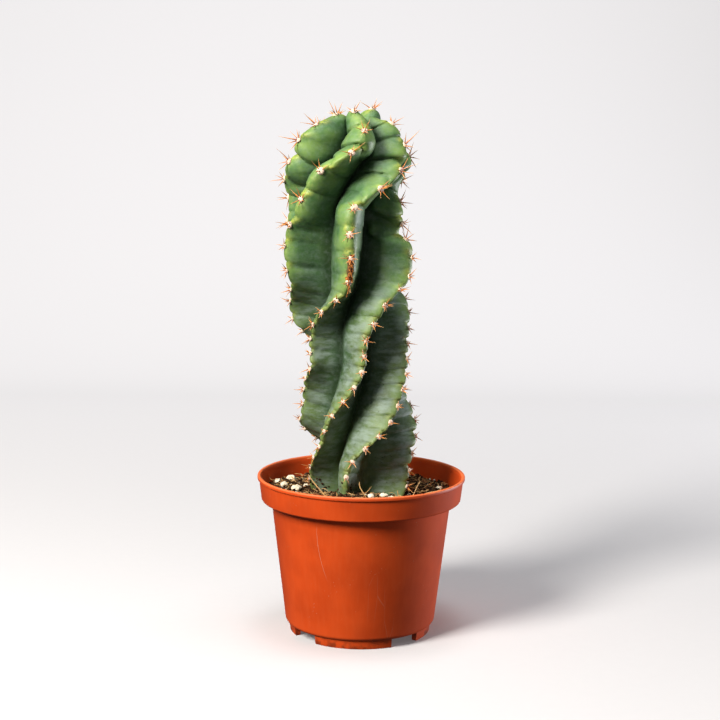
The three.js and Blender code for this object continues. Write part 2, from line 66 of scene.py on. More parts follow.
def curve(points):
    # a smooth curve through (at, value) points, level past its ends
    last = len(points) - 1
    slopes = [0.0] * len(points)
    for i in range(1, last):
        slopes[i] = (points[i + 1][1] - points[i - 1][1]) / (points[i + 1][0] - points[i - 1][0])

    def valueAt(x):
        if x <= points[0][0]:
            return points[0][1]
        if x >= points[last][0]:
            return points[last][1]
        i = next(n for n, point in enumerate(points) if point[0] > x) - 1
        (x0, y0), (x1, y1) = points[i], points[i + 1]
        w = x1 - x0
        t = (x - x0) / w
        rise = t * t * (3 - 2 * t)
        return y0 + (y1 - y0) * rise + w * (slopes[i] * t * (1 - t) ** 2 - slopes[i + 1] * t * t * (1 - t))

    return valueAt


def bell(x):
    return math.exp(-x * x)


def clamp(x, low=0.0, high=1.0):
    return min(high, max(low, x))


def smooth(low, high, x):
    t = clamp((x - low) / (high - low))
    return t * t * (3 - 2 * t)


def shade(code):
    # a colour as shown on screen, such as "#4f7f3c", in the shader's linear values
    parts = [int(code[i:i + 2], 16) / 255 for i in (1, 3, 5)]
    return (*[c / 12.92 if c < 0.04045 else ((c + 0.055) / 1.055) ** 2.4 for c in parts], 1)


def fieldOf(bm, name):
    # a number on every point of the mesh, which a material can read by its name
    return bm.verts.layers.float.get(name) or bm.verts.layers.float.new(name)


def pointsIn(geometry):
    return [v for v in geometry if isinstance(v, bmesh.types.BMVert)]


def mend(bm):
    # joins doubled points and turns every face outwards
    bmesh.ops.remove_doubles(bm, verts=bm.verts, dist=weldDistance)
    bmesh.ops.recalc_face_normals(bm, faces=bm.faces)


def drawProfile(bm, places):
    # joins (radius, height) places by edges
    points = [bm.verts.new((r, 0, z)) for r, z in places]
    for a, b in zip(points, points[1:]):
        bm.edges.new((a, b))
    return points


def turnProfile(bm, steps):
    bmesh.ops.spin(
        bm, geom=bm.verts[:] + bm.edges[:], cent=(0, 0, 0), axis=(0, 0, 1), angle=2 * math.pi, steps=steps,
        use_merge=True,
    )
    mend(bm)


def meshOf(bm, name="template"):
    mesh = bpy.data.meshes.new(name)
    bm.to_mesh(mesh)
    bm.free()
    return mesh


def metreMesh(bm, name):
    bmesh.ops.scale(bm, vec=(mm, mm, mm), verts=bm.verts)
    return meshOf(bm, name)


def addObject(name, data):
    made = bpy.data.objects.new(name, data)
    bpy.context.scene.collection.objects.link(made)
    return made


def finishPiece(bm, name, material, node, smoothAngle):
    mesh = metreMesh(bm, name)
    mesh.shade_smooth()
    mesh.set_sharp_from_angle(angle=math.radians(smoothAngle))
    mesh.materials.append(material)
    piece = addObject(name, mesh)
    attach(piece, "root")
    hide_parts(node)
    print(name, len(mesh.polygons), "faces")
    return piece


class Batches:
    # a piece of many stamped copies, gathered in small meshes because stamping into a large one is slow
    most = 60

    def __init__(self, field=None):
        self.field = field
        self.total = 0
        self.meshes = []
        self.renew()

    def renew(self):
        self.open = bmesh.new()
        if self.field:
            fieldOf(self.open, self.field)
        self.count = 0

    def stamp(self, template, matrix):
        # adds a copy of a template and gives back its points
        if self.count == self.most:
            self.meshes.append(meshOf(self.open))
            self.renew()
        self.count += 1
        self.total += 1
        before = len(self.open.verts)
        self.open.from_mesh(template)
        self.open.verts.ensure_lookup_table()
        points = self.open.verts[before:]
        bmesh.ops.transform(self.open, matrix=matrix, verts=points)
        return points

    def gathered(self):
        for mesh in self.meshes:
            self.open.from_mesh(mesh)
            bpy.data.meshes.remove(mesh)
        return self.open


def stampBent(batches, template, root, lie, length, width, bend, wave):
    # stamps a thin template at its length and half width, bowed to one side and waved to the other
    points = batches.stamp(template, Matrix.Diagonal((width, width, length, 1)))
    for point in points:
        share = point.co.z / length
        point.co.x += bend * share * (1 - share) * 4
        point.co.y += wave * math.sin(share * 6)
    bmesh.ops.transform(batches.open, matrix=Matrix.Translation(root) @ lie, verts=points)


def facing(direction, turn=0.0):
    # a rotation that brings +Z to a direction, after a turn about it
    return direction.to_track_quat("Z", "Y").to_matrix().to_4x4() @ Matrix.Rotation(turn, 4, "Z")


def anyTurn(draw, axis="Z", low=0, high=6):
    return Matrix.Rotation(draw.uniform(low, high), 4, axis)


# Materials: one socket of a material's nodes, on which arithmetic adds Math nodes

def arithmetic(operation, swapped=False):
    def apply(wire, other):
        values = {1: wire, 0: other} if swapped else {0: wire, 1: other}
        return wire.node("Math", values, operation=operation)
    return apply


class Wire:
    def __init__(self, tree, socket=None):
        self.tree = tree
        self.socket = socket

    __add__ = __radd__ = arithmetic("ADD")
    __sub__ = arithmetic("SUBTRACT")
    __rsub__ = arithmetic("SUBTRACT", swapped=True)
    __mul__ = __rmul__ = arithmetic("MULTIPLY")
    __truediv__ = arithmetic("DIVIDE")

    def feed(self, socket, value):
        # a socket takes a wire, a colour such as "#4f7f3c" or a plain value
        if isinstance(value, Wire):
            self.tree.links.new(value.socket, socket)
        else:
            socket.default_value = shade(value) if isinstance(value, str) else value

    def node(self, kind, values=None, output=0, **settings):
        made = self.tree.nodes.new("ShaderNode" + kind)
        for name, value in settings.items():
            setattr(made, name, value)
        for name, value in (values or {}).items():
            self.feed(made.inputs[name], value)
        return Wire(self.tree, made.outputs[output])

    def between(self, low, high):
        # 0 below low and 1 above high, with a soft step between, or the other way round
        values = {"Value": self, "From Min": low, "From Max": high}
        return self.node("MapRange", values, interpolation_type="SMOOTHSTEP")

    def paint(self, under, over):
        # this mask lays one colour over another
        return self.node("Mix", {0: self, 6: under, 7: over}, output=2, data_type="RGBA")

    def cloud(self, size, detail=3, roughness=0.5):
        # soft noise from 0 to 1 with patches of about that many millimetres
        values = {"Vector": self, "Scale": 1 / (size * mm), "Detail": detail, "Roughness": roughness}
        return self.node("TexNoise", values)

    def cells(self, size, output=0, **settings):
        return self.node("TexVoronoi", {"Vector": self, "Scale": 1 / (size * mm)}, output, **settings)

    def stretched(self, x, y, z):
        return self.node("VectorMath", {0: self, 1: (x, y, z)}, operation="MULTIPLY")

    def shifted(self, x, y, z):
        return self.node("VectorMath", {0: self, 1: (x * mm, y * mm, z * mm)}, operation="ADD")

    def part(self, axis):
        return self.node("SeparateXYZ", {0: self}, output="XYZ".index(axis))

    def field(self, name):
        return self.node("Attribute", output=2, attribute_name=name)

    def bump(self, strength, distance):
        return self.node("Bump", {"Height": self, "Strength": strength, "Distance": distance * mm})


def newMaterial(name, **fixed):
    # an empty finish: its material, its shader's plug function and its object coordinates
    material = bpy.data.materials.new(name)
    material.use_nodes = True
    wire = Wire(material.node_tree)
    shader = material.node_tree.nodes["Principled BSDF"]

    def plug(**sockets):
        for key, value in sockets.items():
            wire.feed(shader.inputs[socketNames[key]], value)

    plug(**fixed)
    return material, plug, wire.node("TexCoord", output=3)


def layered(base, colours, layers):
    # lays named colours over a base, each through its own mask
    for mask, name in layers:
        base = mask.paint(base, colours[name])
    return base


socketNames = {
    "colour": "Base Color",
    "roughness": "Roughness",
    "normal": "Normal",
    "specular": "Specular IOR Level",
    "sheen": "Sheen Weight",
    "emission": "Emission Color",
    "emissionStrength": "Emission Strength",
}


# Camera, lights and stage

view = {
    "place": (-1.4, -851.5, 283),
    "lens": 74.8,
    "sensor": 36,
    "downDegrees": 8.29,
    "rollDegrees": 0.58,
}

# each light: place, what it looks at, width, height, power in watts, colour
lights = {
    "key": ((-790, -790, 930), (0, 0, 180), 420, 560, 35, "#fffaf2"),
    "right": ((1000, 380, 60), (0, 0, 120), 350, 100, 10, "#f4f6ff"),
    "top": ((60, -60, 1500), (0, 0, 200), 500, 500, 8, "#ffffff"),
    "front": ((350, -1400, 500), (0, 0, 150), 600, 500, 0.8, "#ffffff"),
}

stage = {
    "width": 2800,
    "front": -2200,
    "back": 1500,
    "wallHeight": 3200,
    "sweepRadius": 700,
    "sweepSteps": 24,
    "colour": "#cbcacc",
    "wallGlow": 0.7,
    "floorGlow": 0.15,
    # the metres behind the pot over which the floor's glow turns into the wall's
    "glowChange": (0.05, 0.95),
    "worldColour": "#f4f5f8",
    "worldLight": 0.09,
    "worldSeen": 0.9,
}


def addCamera():
    data = bpy.data.cameras.new("photoCamera")
    data.lens = view["lens"]
    data.sensor_width = view["sensor"]
    data.clip_start = 0.01
    tilt = Matrix.Rotation(math.radians(90 - view["downDegrees"]), 4, "X")
    roll = Matrix.Rotation(math.radians(view["rollDegrees"]), 4, "Z")
    camera = addObject("photoCamera", data)
    camera.matrix_world = Matrix.Translation(Vector(view["place"]) * mm) @ tilt @ roll
    bpy.context.scene.camera = camera
    bpy.context.scene.view_settings.view_transform = "Standard"


def addLights():
    for name, (place, target, width, height, power, colour) in lights.items():
        data = bpy.data.lights.new(name + "Light", "AREA")
        data.shape = "RECTANGLE"
        data.size = width * mm
        data.size_y = height * mm
        data.energy = power
        data.color = shade(colour)[:3]
        aim = (Vector(target) - Vector(place)).to_track_quat("-Z", "Y").to_matrix().to_4x4()
        addObject(name + "Light", data).matrix_world = Matrix.Translation(Vector(place) * mm) @ aim
    world = bpy.data.worlds.new("studio")
    world.use_nodes = True
    sky = world.node_tree.nodes["Background"].inputs
    air = Wire(world.node_tree)
    seen = air.node("LightPath")
    air.feed(sky["Color"], stage["worldColour"])
    air.feed(sky["Strength"], stage["worldLight"] + seen * (stage["worldSeen"] - stage["worldLight"]))
    bpy.context.scene.world = world


def addStage():
    # a floor that sweeps up into a wall
    bm = bmesh.new()
    radius = stage["sweepRadius"]
    start = bm.verts.new((0, stage["front"], 0))
    foot = bm.verts.new((0, stage["back"] - radius, 0))
    bm.edges.new((start, foot))
    turn = bmesh.ops.spin(
        bm, geom=[foot], cent=(0, stage["back"] - radius, radius), axis=(1, 0, 0), angle=math.pi / 2,
        steps=stage["sweepSteps"],
    )
    wall = bmesh.ops.extrude_vert_indiv(bm, verts=pointsIn(turn["geom_last"]))["verts"]
    bmesh.ops.translate(bm, vec=(0, 0, stage["wallHeight"]), verts=wall)
    bmesh.ops.translate(bm, vec=(-stage["width"] / 2, 0, 0), verts=bm.verts)
    sheet = bmesh.ops.extrude_edge_only(bm, edges=bm.edges[:])["geom"]
    bmesh.ops.translate(bm, vec=(stage["width"], 0, 0), verts=pointsIn(sheet))
    mesh = metreMesh(bm, "backdrop")
    mesh.shade_smooth()
    mesh.materials.append(paperMaterial())
    backdrop = addObject("backdrop", mesh)
    backdrop.visible_diffuse = False
    backdrop.visible_glossy = False


def paperMaterial():
    paper = shade(stage["colour"])
    dim, bright = [(*[c * stage[glow] for c in paper[:3]], 1) for glow in ("floorGlow", "wallGlow")]
    material, plug, place = newMaterial("stagePaper", roughness=0.9, specular=0.1, emissionStrength=1.0)
    far = place.part("Y").between(*stage["glowChange"])
    plug(colour=(place.cloud(6, detail=2) * 0.04).paint(paper, "#ffffff"), emission=far.paint(dim, bright))
    return material


# Pot

pot = {
    "height": 92,
    "rimRadius": 59.6,
    "lipRadius": 60.2,
    "lipHeight": 2.2,
    "bandHeight": 14.4,
    "bandFootRadius": 57.8,
    "bodyTopRadius": 52.1,
    "bodyFootRadius": 43.4,
    "wall": 1.3,
    "footHeight": 5,
    "footOuterRadius": 41.6,
    "footInnerRadius": 38,
    "footTaper": 0.7,
    "footOverlap": 0.6,
    "footRounding": 0.35,
    "footGapDegrees": 26,
    "footTurnDegrees": -6,
    "cornerRadius": 2.6,
    "drainHoleRadius": 4,
    "drainHoleRing": 33,
    "drillDepth": 10,
    "thickerFloor": 0.3,
    "steps": 160,
    "roundingSteps": 5,
    "smoothAngle": 30,
    "colour": "#d94e18",
    "deepColour": "#c24211",
    # a paler tone for the flow lines, also painted along the lip as a highlight
    "paleAndHighlightColour": "#ee8450",
    "dustColour": "#c9b39a",
    "peatColour": "#2c1a12",
    "roughness": 0.4,
    "scratchTop": 72,
    "scratchAside": -24.5,
    "scratchLength": 30,
    "scratchBend": -5.7,
}
bandFoot = pot["height"] - pot["bandHeight"]
floorHeight = pot["footHeight"] + pot["wall"] + pot["thickerFloor"]


def bodyRadius(z):
    share = (z - pot["footHeight"]) / (bandFoot - pot["footHeight"])
    return pot["bodyFootRadius"] + share * (pot["bodyTopRadius"] - pot["bodyFootRadius"])


def potProfile():
    # (radius, height, rounding) from under the floor, up over the lip and back down inside
    keys = ("height", "wall", "lipRadius", "rimRadius", "bandFootRadius", "footHeight")
    top, wall, lip, rim, band, foot = [pot[key] for key in keys]
    lipFoot = top - pot["lipHeight"]
    return [
        (0, foot, 0),
        (bodyRadius(foot), foot, pot["cornerRadius"]),
        (bodyRadius(bandFoot), bandFoot, 0.5),
        (band, bandFoot, 1.1),
        (rim - 0.35, lipFoot, 0.25),
        (lip, lipFoot + 0.15, 0.35),
        (lip, top, 0.6),
        (lip - wall - 0.5, top, 0.5),
        (rim - wall - 0.6, lipFoot, 0.8),
        (band - wall, bandFoot + wall, 0.9),
        (bodyRadius(bandFoot) - wall, bandFoot + wall - 0.4, 0.8),
        (bodyRadius(floorHeight) - wall, floorHeight, 1.5),
        (0, floorHeight, 0),
    ]


def addPot():
    bm = bmesh.new()
    profile = potProfile()
    corners = drawProfile(bm, [(r, z) for r, z, rounding in profile])
    for corner, (r, z, rounding) in zip(corners, profile):
        if rounding:
            bmesh.ops.bevel(
                bm, geom=[corner], offset=rounding, offset_type="OFFSET", affect="VERTICES",
                segments=pot["roundingSteps"], profile=0.5, material=-1,
            )
    turnProfile(bm, pot["steps"])
    piece = finishPiece(bm, "nursery_pot", potMaterial(), "pot", pot["smoothAngle"])
    cutAndJoin(piece, potFeet(), "UNION")
    cutAndJoin(piece, drainHoles(), "DIFFERENCE")
    piece.data.shade_smooth()
    piece.data.set_sharp_from_angle(angle=math.radians(pot["smoothAngle"]))


def cutAndJoin(piece, bm, operation):
    # joins a mesh in millimetres to a finished piece, or cuts it out of it
    bmesh.ops.recalc_face_normals(bm, faces=bm.faces)
    mesh = metreMesh(bm, "tool")
    tool = addObject("tool", mesh)
    change = piece.modifiers.new("change", "BOOLEAN")
    change.operation = operation
    change.solver = "EXACT"
    change.object = tool
    bpy.context.view_layer.update()
    solved = bpy.data.meshes.new_from_object(piece.evaluated_get(bpy.context.evaluated_depsgraph_get()))
    piece.modifiers.remove(change)
    old = piece.data
    piece.data = solved
    solved.name = piece.name
    bpy.data.objects.remove(tool)
    for spent in (old, mesh):
        bpy.data.meshes.remove(spent)


def potFeet():
    # four curved bars under the pot's edge
    bm = bmesh.new()
    arc = math.pi / 2 - math.radians(pot["footGapDegrees"])
    top = pot["footHeight"] + pot["footOverlap"]
    outer = pot["footOuterRadius"]
    inner = pot["footInnerRadius"]
    section = [(outer - pot["footTaper"], 0), (outer, top), (inner, top), (inner, 0)]
    for foot in range(4):
        start = math.radians(pot["footTurnDegrees"] + foot * 90 - 90) - arc / 2
        face = bm.faces.new([bm.verts.new((r * math.cos(start), r * math.sin(start), z)) for r, z in section])
        bmesh.ops.spin(
            bm, geom=[face, *face.verts, *face.edges], cent=(0, 0, 0), axis=(0, 0, 1), angle=arc, steps=20,
        )
    bottom = [e for e in bm.edges if all(v.co.z < 0.01 for v in e.verts) and len(e.link_faces) == 2]
    bmesh.ops.bevel(
        bm, geom=[e for e in bottom if e.calc_face_angle(0) > 0.5], offset=pot["footRounding"],
        offset_type="OFFSET", affect="EDGES", segments=3, profile=0.5, material=-1,
    )
    return bm


def drainHoles():
    bm = bmesh.new()
    ring = pot["drainHoleRing"]
    radius = pot["drainHoleRadius"]
    angles = [math.radians(pot["footTurnDegrees"] + hole * 90 - 45) for hole in range(4)]
    for x, y in [(0, 0)] + [(ring * math.cos(angle), ring * math.sin(angle)) for angle in angles]:
        bmesh.ops.create_cone(
            bm, cap_ends=True, segments=32, radius1=radius, radius2=radius, depth=pot["drillDepth"],
            matrix=Matrix.Translation((x, y, pot["footHeight"])),
        )
    return bm


def potMaterial():
    material, plug, place = newMaterial("terracottaPlastic", specular=0.3)
    height = place.part("Z")
    soft = place.cloud(28)
    flow = place.stretched(1, 1, 0.12).cloud(2.2, detail=4, roughness=0.6)
    dust = place.cells(1.7).between(0.16, 0.06) * place.cloud(11, detail=2).between(0.56, 0.68)
    scratch = place.stretched(1, 1, 0.05).shifted(7, 3, 0).cells(4.5, feature="DISTANCE_TO_EDGE")
    scratchPlace = place.stretched(1, 1, 0.35).cloud(16, detail=1).between(0.66, 0.76)
    # one long scratch bends down the front
    fall = (pot["scratchTop"] * mm - height) / (pot["scratchLength"] * mm)
    aside = place.part("X") + fall * fall * (pot["scratchBend"] * mm) - pot["scratchAside"] * mm
    bend = (aside * aside).between(3e-8, 5e-9) * fall.between(-0.1, 0.2) * fall.between(1.1, 0.8)
    bend = bend * place.part("Y").between(0, -1 * mm)
    scuff = scratch.between(0.02, 0.006) * scratchPlace * 0.4 + bend
    # peat smears inside above the mix, and grime where the feet stand
    flat = place.stretched(1, 1, 0)
    across = flat.node("VectorMath", {0: flat}, output=1, operation="LENGTH")
    inside = across.between((pot["bodyTopRadius"] + 4.9) * mm, (pot["bodyTopRadius"] + 3.6) * mm)
    nearMix = height.between(88 * mm, 82 * mm) * height.between((bandFoot + 0.9) * mm, (bandFoot + 1.1) * mm)
    smear = place.cloud(3.5, detail=5, roughness=0.65).between(0.45, 0.62) * inside * nearMix
    grime = place.cloud(5, detail=4).between(0.42, 0.62) * height.between(7 * mm, 1 * mm)
    # painted highlight along the top of the lip
    lipHighlight = height.between((pot["height"] - 1.1) * mm, (pot["height"] - 0.2) * mm)
    colour = layered(pot["colour"], pot, [
        (soft.between(0.3, 0.7), "deepColour"),
        (flow.between(0.35, 0.75) * 0.05, "paleAndHighlightColour"),
        # painted highlight on the lip
        (lipHighlight * 0.55, "paleAndHighlightColour"),
        (scuff * 0.3, "dustColour"),
        (dust * 0.5, "dustColour"),
        (smear * 0.75, "peatColour"),
        (grime * 0.6, "peatColour"),
    ])
    roughness = pot["roughness"] + soft * 0.08 + flow * 0.06 + dust * 0.2 + scuff * 0.15 + smear * 0.3
    relief = place.cloud(0.5, detail=2) * 0.4 + flow * 0.5 - scuff * 0.6
    plug(colour=colour, roughness=roughness, normal=relief.bump(0.16, 0.25))
    return material


# Stem

stem = {
    "ribs": 5,
    "rootTip": 55,
    "shoulder": 265,
    "domeHeight": 36,
    "apexDip": 8,
    "apexDipReach": 8,
    "bareTop": 9,
    "valleyShare": 0.42,
    "footValleyShare": 0.9,
    "footReach": 18,
    "fadeRadius": 15,
    "flankFlare": curve([(205, 1.25), (238, 1.8), (270, 1.5)]),
    "leanDegrees": curve([(205, 15), (238, 1), (300, 0)]),
    "firstAreole": 84,
    "areoleStep": 0.25,
    "endSpacing": 9,
    "notchAbove": 0.37,
    "startShare": (0.6, 0.43, 0.86, 0.29, 0.72),
    "upperFoot": 205,
    "upperSpread": (0.85, 1.05, 1, 0.85, 0.9),
    "crestHalfWidth": curve([(80, 2.8), (150, 3.1), (185, 3.6), (208, 4.8), (262, 5.6), (290, 5.2)]),
    "crestRadius": curve([
        (55, 5), (64, 15), (74, 25), (84, 28.6), (100, 30.2), (118, 32.6), (135, 32), (150, 30.6),
        (166, 29.8), (182, 30.4), (197, 33), (215, 36), (235, 37), (265, 35),
    ]),
    "ribTurn": curve([
        (55, -174), (90, -156), (105, -141), (121, -120), (139, -95), (157, -72), (175, -62), (183, -52),
        (191, -33), (199, -13), (208, -3), (222, 1), (238, 2), (247, 6), (256, 27), (266, 56), (283, 78),
        (300, 88),
    ]),
    "middle": curve([
        (80, -0.6), (100, -1.4), (125, -2.4), (150, -2.8), (190, -4), (230, -8.4), (265, -9.4), (292, -6),
        (315, -4),
    ]),
    "areoleSpacing": curve([
        (90, 9.6), (120, 10.6), (152, 10), (176, 8.8), (190, 12), (215, 13.6), (240, 13.2), (258, 18.5),
        (278, 19), (292, 16),
    ]),
    "notchDepth": curve([
        (80, 0.5), (96, 1.9), (130, 2.4), (180, 2.3), (202, 1.6), (228, 1.5), (246, 1.9), (262, 2.6),
        (282, 3.4), (310, 2),
    ]),
    "foldFade": curve([(100, 2.5), (230, 4), (262, 1.6), (285, 1.2)]),
    "foldSlope": curve([(100, 0.25), (190, 0.15), (250, 0.1), (280, 0.1)]),
    "foldTilt": 0.6,
    "twistLimit": 1.2,
    "swellPeak": 0.6,
    "swellMiddle": 0.55,
    "swellFoot": 0.45,
    "valleyGap": 0.12,
    "fullness": curve([(190, 0), (235, 0.8), (262, 2.2), (290, 2.6), (315, 1)]),
    "flankSwell": curve([(88, 0), (102, 0.7), (190, 0.75), (240, 0.9), (262, 2.6), (290, 3), (315, 1.5)]),
    # single folds that are deeper or shallower than their neighbours: rib, height, change, reach
    "folds": [
        (0, 289, -0.9, 5), (0, 300, -0.85, 6), (0, 276.8, 0.6, 5), (1, 282, 0.3, 4), (2, 273, 0.6, 4),
        (2, 288, -0.2, 8), (0, 112, 0.8, 16), (3, 256, 0.4, 4), (3, 244.4, 1.2, 4), (3, 233.7, 0.7, 6),
        (3, 223.5, -0.7, 4), (3, 213.5, -0.5, 4),
    ],
    # single creases and swellings across a flank: rib, height, millimetres, reach, climb to the valley
    "creases": [
        (3, 234.5, -4.5, 2.6, 9), (3, 227.5, 4.5, 5.5, 9), (3, 242, 2, 4, 9), (1, 214, -0.9, 1.6, -4),
        (1, 236, -0.8, 1.6, -5), (1, 199, -0.7, 1.6, -4),
    ],
    # single crests that reach higher or lower on the dome: rib, height, millimetres, reach
    "rises": [(3, 302, 5, 8), (1, 309, 2.5, 7), (2, 306, -2, 6)],
    # single ribs that stray from the even star: rib, height, degrees, reach
    "strays": [
        (0, 238, 32, 15), (1, 245, 17, 11), (1, 267, -12, 9), (1, 281, 6, 8), (1, 309, -22, 8),
        (1, 177, 24, 11), (2, 121, 14, 12), (2, 157, 9, 7), (3, 274, -34, 15), (3, 303, -18, 10),
        (3, 197, -17, 9), (3, 145, 8, 20), (3, 112, 15, 14), (4, 242, 14, 16), (4, 104, -10, 14),
        (4, 127, 3, 10), (0, 92, 12, 12),
    ],
    # single ribs that swell or shrink: rib, height, millimetres, reach
    "swells": [
        (1, 184, 9, 12), (1, 214, 3, 18), (0, 290, 5, 9), (0, 255, 2, 12), (2, 119, 3, 9), (3, 250, -5, 12),
        (3, 258, -3, 5), (3, 233.5, -6.5, 5), (3, 277, 3, 12), (0, 118, 1.5, 16),
    ],
    "stepsAcrossRib": 42,
    "stepAlongRib": 0.86,
    "buriedStep": 4,
    "valleyCrowding": 1.25,
    "roughRelief": 0.16,
    "fineRelief": 0.045,
    "browRelief": 0.45,
    "browAbove": 3.6,
    "browReach": 2.1,
    "oldTop": 165,
    "youngFoot": 235,
    # a fresh green for young skin, also painted over the swellings as highlight
    "freshAndLitGreen": "#82a24e",
    "middleGreen": "#4f7743",
    # a darker green for patches of skin, also painted as shade over the flanks, valleys and folds
    "deepAndShadeGreen": "#2c4c28",
    # painted shade deep in the valleys
    "valleyShadeGreen": "#152012",
    "oliveGreen": "#5a6b42",
    "waxColour": "#99a9a4",
    "marginColour": "#b5bb4a",
    "scarColour": "#7a4a2a",
    "crustColour": "#5a2410",
    "pitColour": "#161f14",
    # a dry scar: its rib, middle height, half length and width, and its strands with their fall and bend
    "scar": {
        "rib": 2,
        "height": 214,
        "reach": 7.5,
        "side": 0.3,
        "scabs": 34,
        "scabSize": (0.35, 1.0),
        "strands": [(212, (-1.5, -1.2, -13), 0.45, 0.8), (217, (1.8, -1.5, -8), 0.3, -0.9)],
    },
}
soilLevel = 81.3
stemTop = stem["shoulder"] + stem["domeHeight"] * math.pi / 2
lastAreole = stemTop - stem["bareTop"]
skinFields = ("crest", "lobe", "brow", "fold", "scar")


def changed(value, changes, rib, height, share=1):
    # a value with the single changes that a list holds for a rib: rib, height, amount, reach
    for changedRib, at, amount, reach in stem[changes]:
        if changedRib == rib % stem["ribs"]:
            value += amount * bell((height - at) / reach) * share
    return value


@lru_cache(maxsize=None)
def ribAngle(rib, height):
    # counterclockwise from the front as seen from above, in radians
    degrees = stem["ribTurn"](height) + (rib - 2) * 360 / stem["ribs"]
    return math.radians(changed(degrees, "strays", rib, height))


@lru_cache(maxsize=None)
def meridian(rib, height):
    # a rib's crest and valley radius, their heights, and how far the dome has closed
    over = max(0.0, height - stem["shoulder"]) / stem["domeHeight"]
    closing = math.cos(over)
    radius = stem["crestRadius"](height)
    crest = changed(radius * closing, "swells", rib, height, closing)
    buried = clamp((soilLevel - height) / stem["footReach"])
    share = stem["valleyShare"] + (stem["footValleyShare"] - stem["valleyShare"]) * buried
    base = min(height, stem["shoulder"])
    dip = stem["apexDip"] * bell(crest / stem["apexDipReach"]) if over > 0 else 0
    crestHeight = changed(base + stem["domeHeight"] * math.sin(over) - dip, "rises", rib, height)
    valleyHeight = base + (stem["domeHeight"] - stem["apexDip"]) * math.sin(over)
    return crest, radius * share * closing, crestHeight, valleyHeight, closing


@lru_cache(maxsize=None)
def middle(height):
    # how far the stem's own middle lies aside at a height
    over = height - stem["shoulder"]
    if over > 0:
        height = stem["shoulder"] + stem["domeHeight"] * math.sin(over / stem["domeHeight"])
    return stem["middle"](height)


def crestPoint(rib, height):
    crest, valley, crestHeight, valleyHeight, closing = meridian(rib, height)
    angle = ribAngle(rib, height)
    return Vector((middle(height) + crest * math.sin(angle), -crest * math.cos(angle), crestHeight))


def areoleHeights(rib):
    heights = []
    height = stem["firstAreole"]
    run = stem["areoleSpacing"](height) * stem["startShare"][rib]
    before = crestPoint(rib, height)
    while height < lastAreole:
        here = crestPoint(rib, height)
        spread = stem["upperSpread"][rib] if height > stem["upperFoot"] else 1
        spacing = stem["areoleSpacing"](height) * spread
        run += (here - before).length
        before = here
        if run >= spacing:
            heights.append(height)
            run -= spacing
        height += stem["areoleStep"]
    return heights


areoles = [areoleHeights(rib) for rib in range(stem["ribs"])]


def neighbours(rib, height):
    # the areoles below and above a height on a rib
    heights = areoles[rib]
    upper = next((n for n, h in enumerate(heights) if h > height), len(heights))
    low = heights[upper - 1] if upper > 0 else heights[0] - stem["endSpacing"]
    high = heights[upper] if upper < len(heights) else heights[-1] + stem["endSpacing"]
    return low, high


def tubercle(rib, height):
    # 0 in the fold above an areole and 1 on the swelling that bulges out over the fold
    low, high = neighbours(rib, height)
    share = clamp((height - low) / (high - low))
    return math.sin(math.pi * ((share + 1 - stem["notchAbove"]) % 1) ** stem["swellPeak"]) ** 0.7


def creaseWidth(rib, height, out):
    # how much wider the flank is for the creases and swellings that cross it
    width = 0
    for creaseRib, at, amount, reach, climb in stem["creases"]:
        if creaseRib == rib:
            width += amount * bell((height - climb * (1 - out) - at) / reach)
    return width


@lru_cache(maxsize=None)
def twist(rib, height):
    # how far the crest runs sideways for each millimetre that it climbs
    turn = ribAngle(rib, height + 1) - ribAngle(rib, height - 1)
    return clamp(turn / 2 * stem["crestRadius"](height), -stem["twistLimit"], stem["twistLimit"])


def crestShare(side):
    return math.sqrt(1 - min(1.0, side) ** 2) ** 0.8


def stemPoint(rib, side, height):
    # side runs from -1 in the valley before a rib, over 0 on its crest, to 1 in the next valley
    crest, valley, crestHeight, valleyHeight, closing = meridian(rib, height)
    here = ribAngle(rib, height)
    sign = (side > 0) - (side < 0)
    toValley = abs(ribAngle(rib + (sign or 1), height) - here) / 2
    out = crestShare(abs(side))
    foot = valley * math.sin(toValley)
    fade = min(1.0, crest / stem["fadeRadius"])
    half = stem["crestHalfWidth"](height) * fade
    rounded = math.sqrt(max(0.0, 1 - out ** 4))
    plain = half * rounded + (foot - half) * (1 - out) ** stem["flankFlare"](height)
    plain += stem["fullness"](height) * closing * math.sin(math.pi * out) ** 0.8
    # folds cross the rib squarely, so they tilt where it winds
    slope = stem["foldSlope"](height) * (1 - out) * (crest - valley)
    slope += stem["foldTilt"] * sign * plain * twist(rib, height) * closing
    lobe = tubercle(rib, height + slope)
    depth = changed(1.0, "folds", rib, height + slope) * closing
    notch = stem["notchDepth"](height) * depth * (1 - lobe) * out ** (1 + stem["foldFade"](height))
    radius = max(valley, valley + out * (crest - valley) - notch)
    swell = stem["flankSwell"](height) * depth * (lobe - stem["swellMiddle"])
    swell += creaseWidth(rib, height, out) * closing
    width = plain + swell * rounded * smooth(0, stem["swellFoot"], out) * fade
    limit = toValley * (1 - stem["valleyGap"] * out)
    spread = toValley if out == 0 else min(limit, math.asin(clamp(width / max(radius, 1e-6))))
    buried = clamp((height - stem["rootTip"]) / (soilLevel - stem["rootTip"]))
    angle = here + sign * spread + math.radians(stem["leanDegrees"](height)) * closing * (out - 1) * buried
    place = Vector((
        middle(height) + radius * math.sin(angle),
        -radius * math.cos(angle),
        valleyHeight + out * (crestHeight - valleyHeight),
    ))
    return place, out, lobe


def rowHeights():
    # rows whose crests lie one step apart along a rib, wider apart below the mix
    heights = [stem["rootTip"]]
    while heights[-1] < stemTop - 0.5:
        height = heights[-1]
        turn = ribAngle(2, height + 1) - ribAngle(2, height)
        step = stem["stepAlongRib"] / math.hypot(1, turn * stem["crestRadius"](height))
        heights.append(height + (stem["buriedStep"] if height < soilLevel - 6 else step))
    return heights


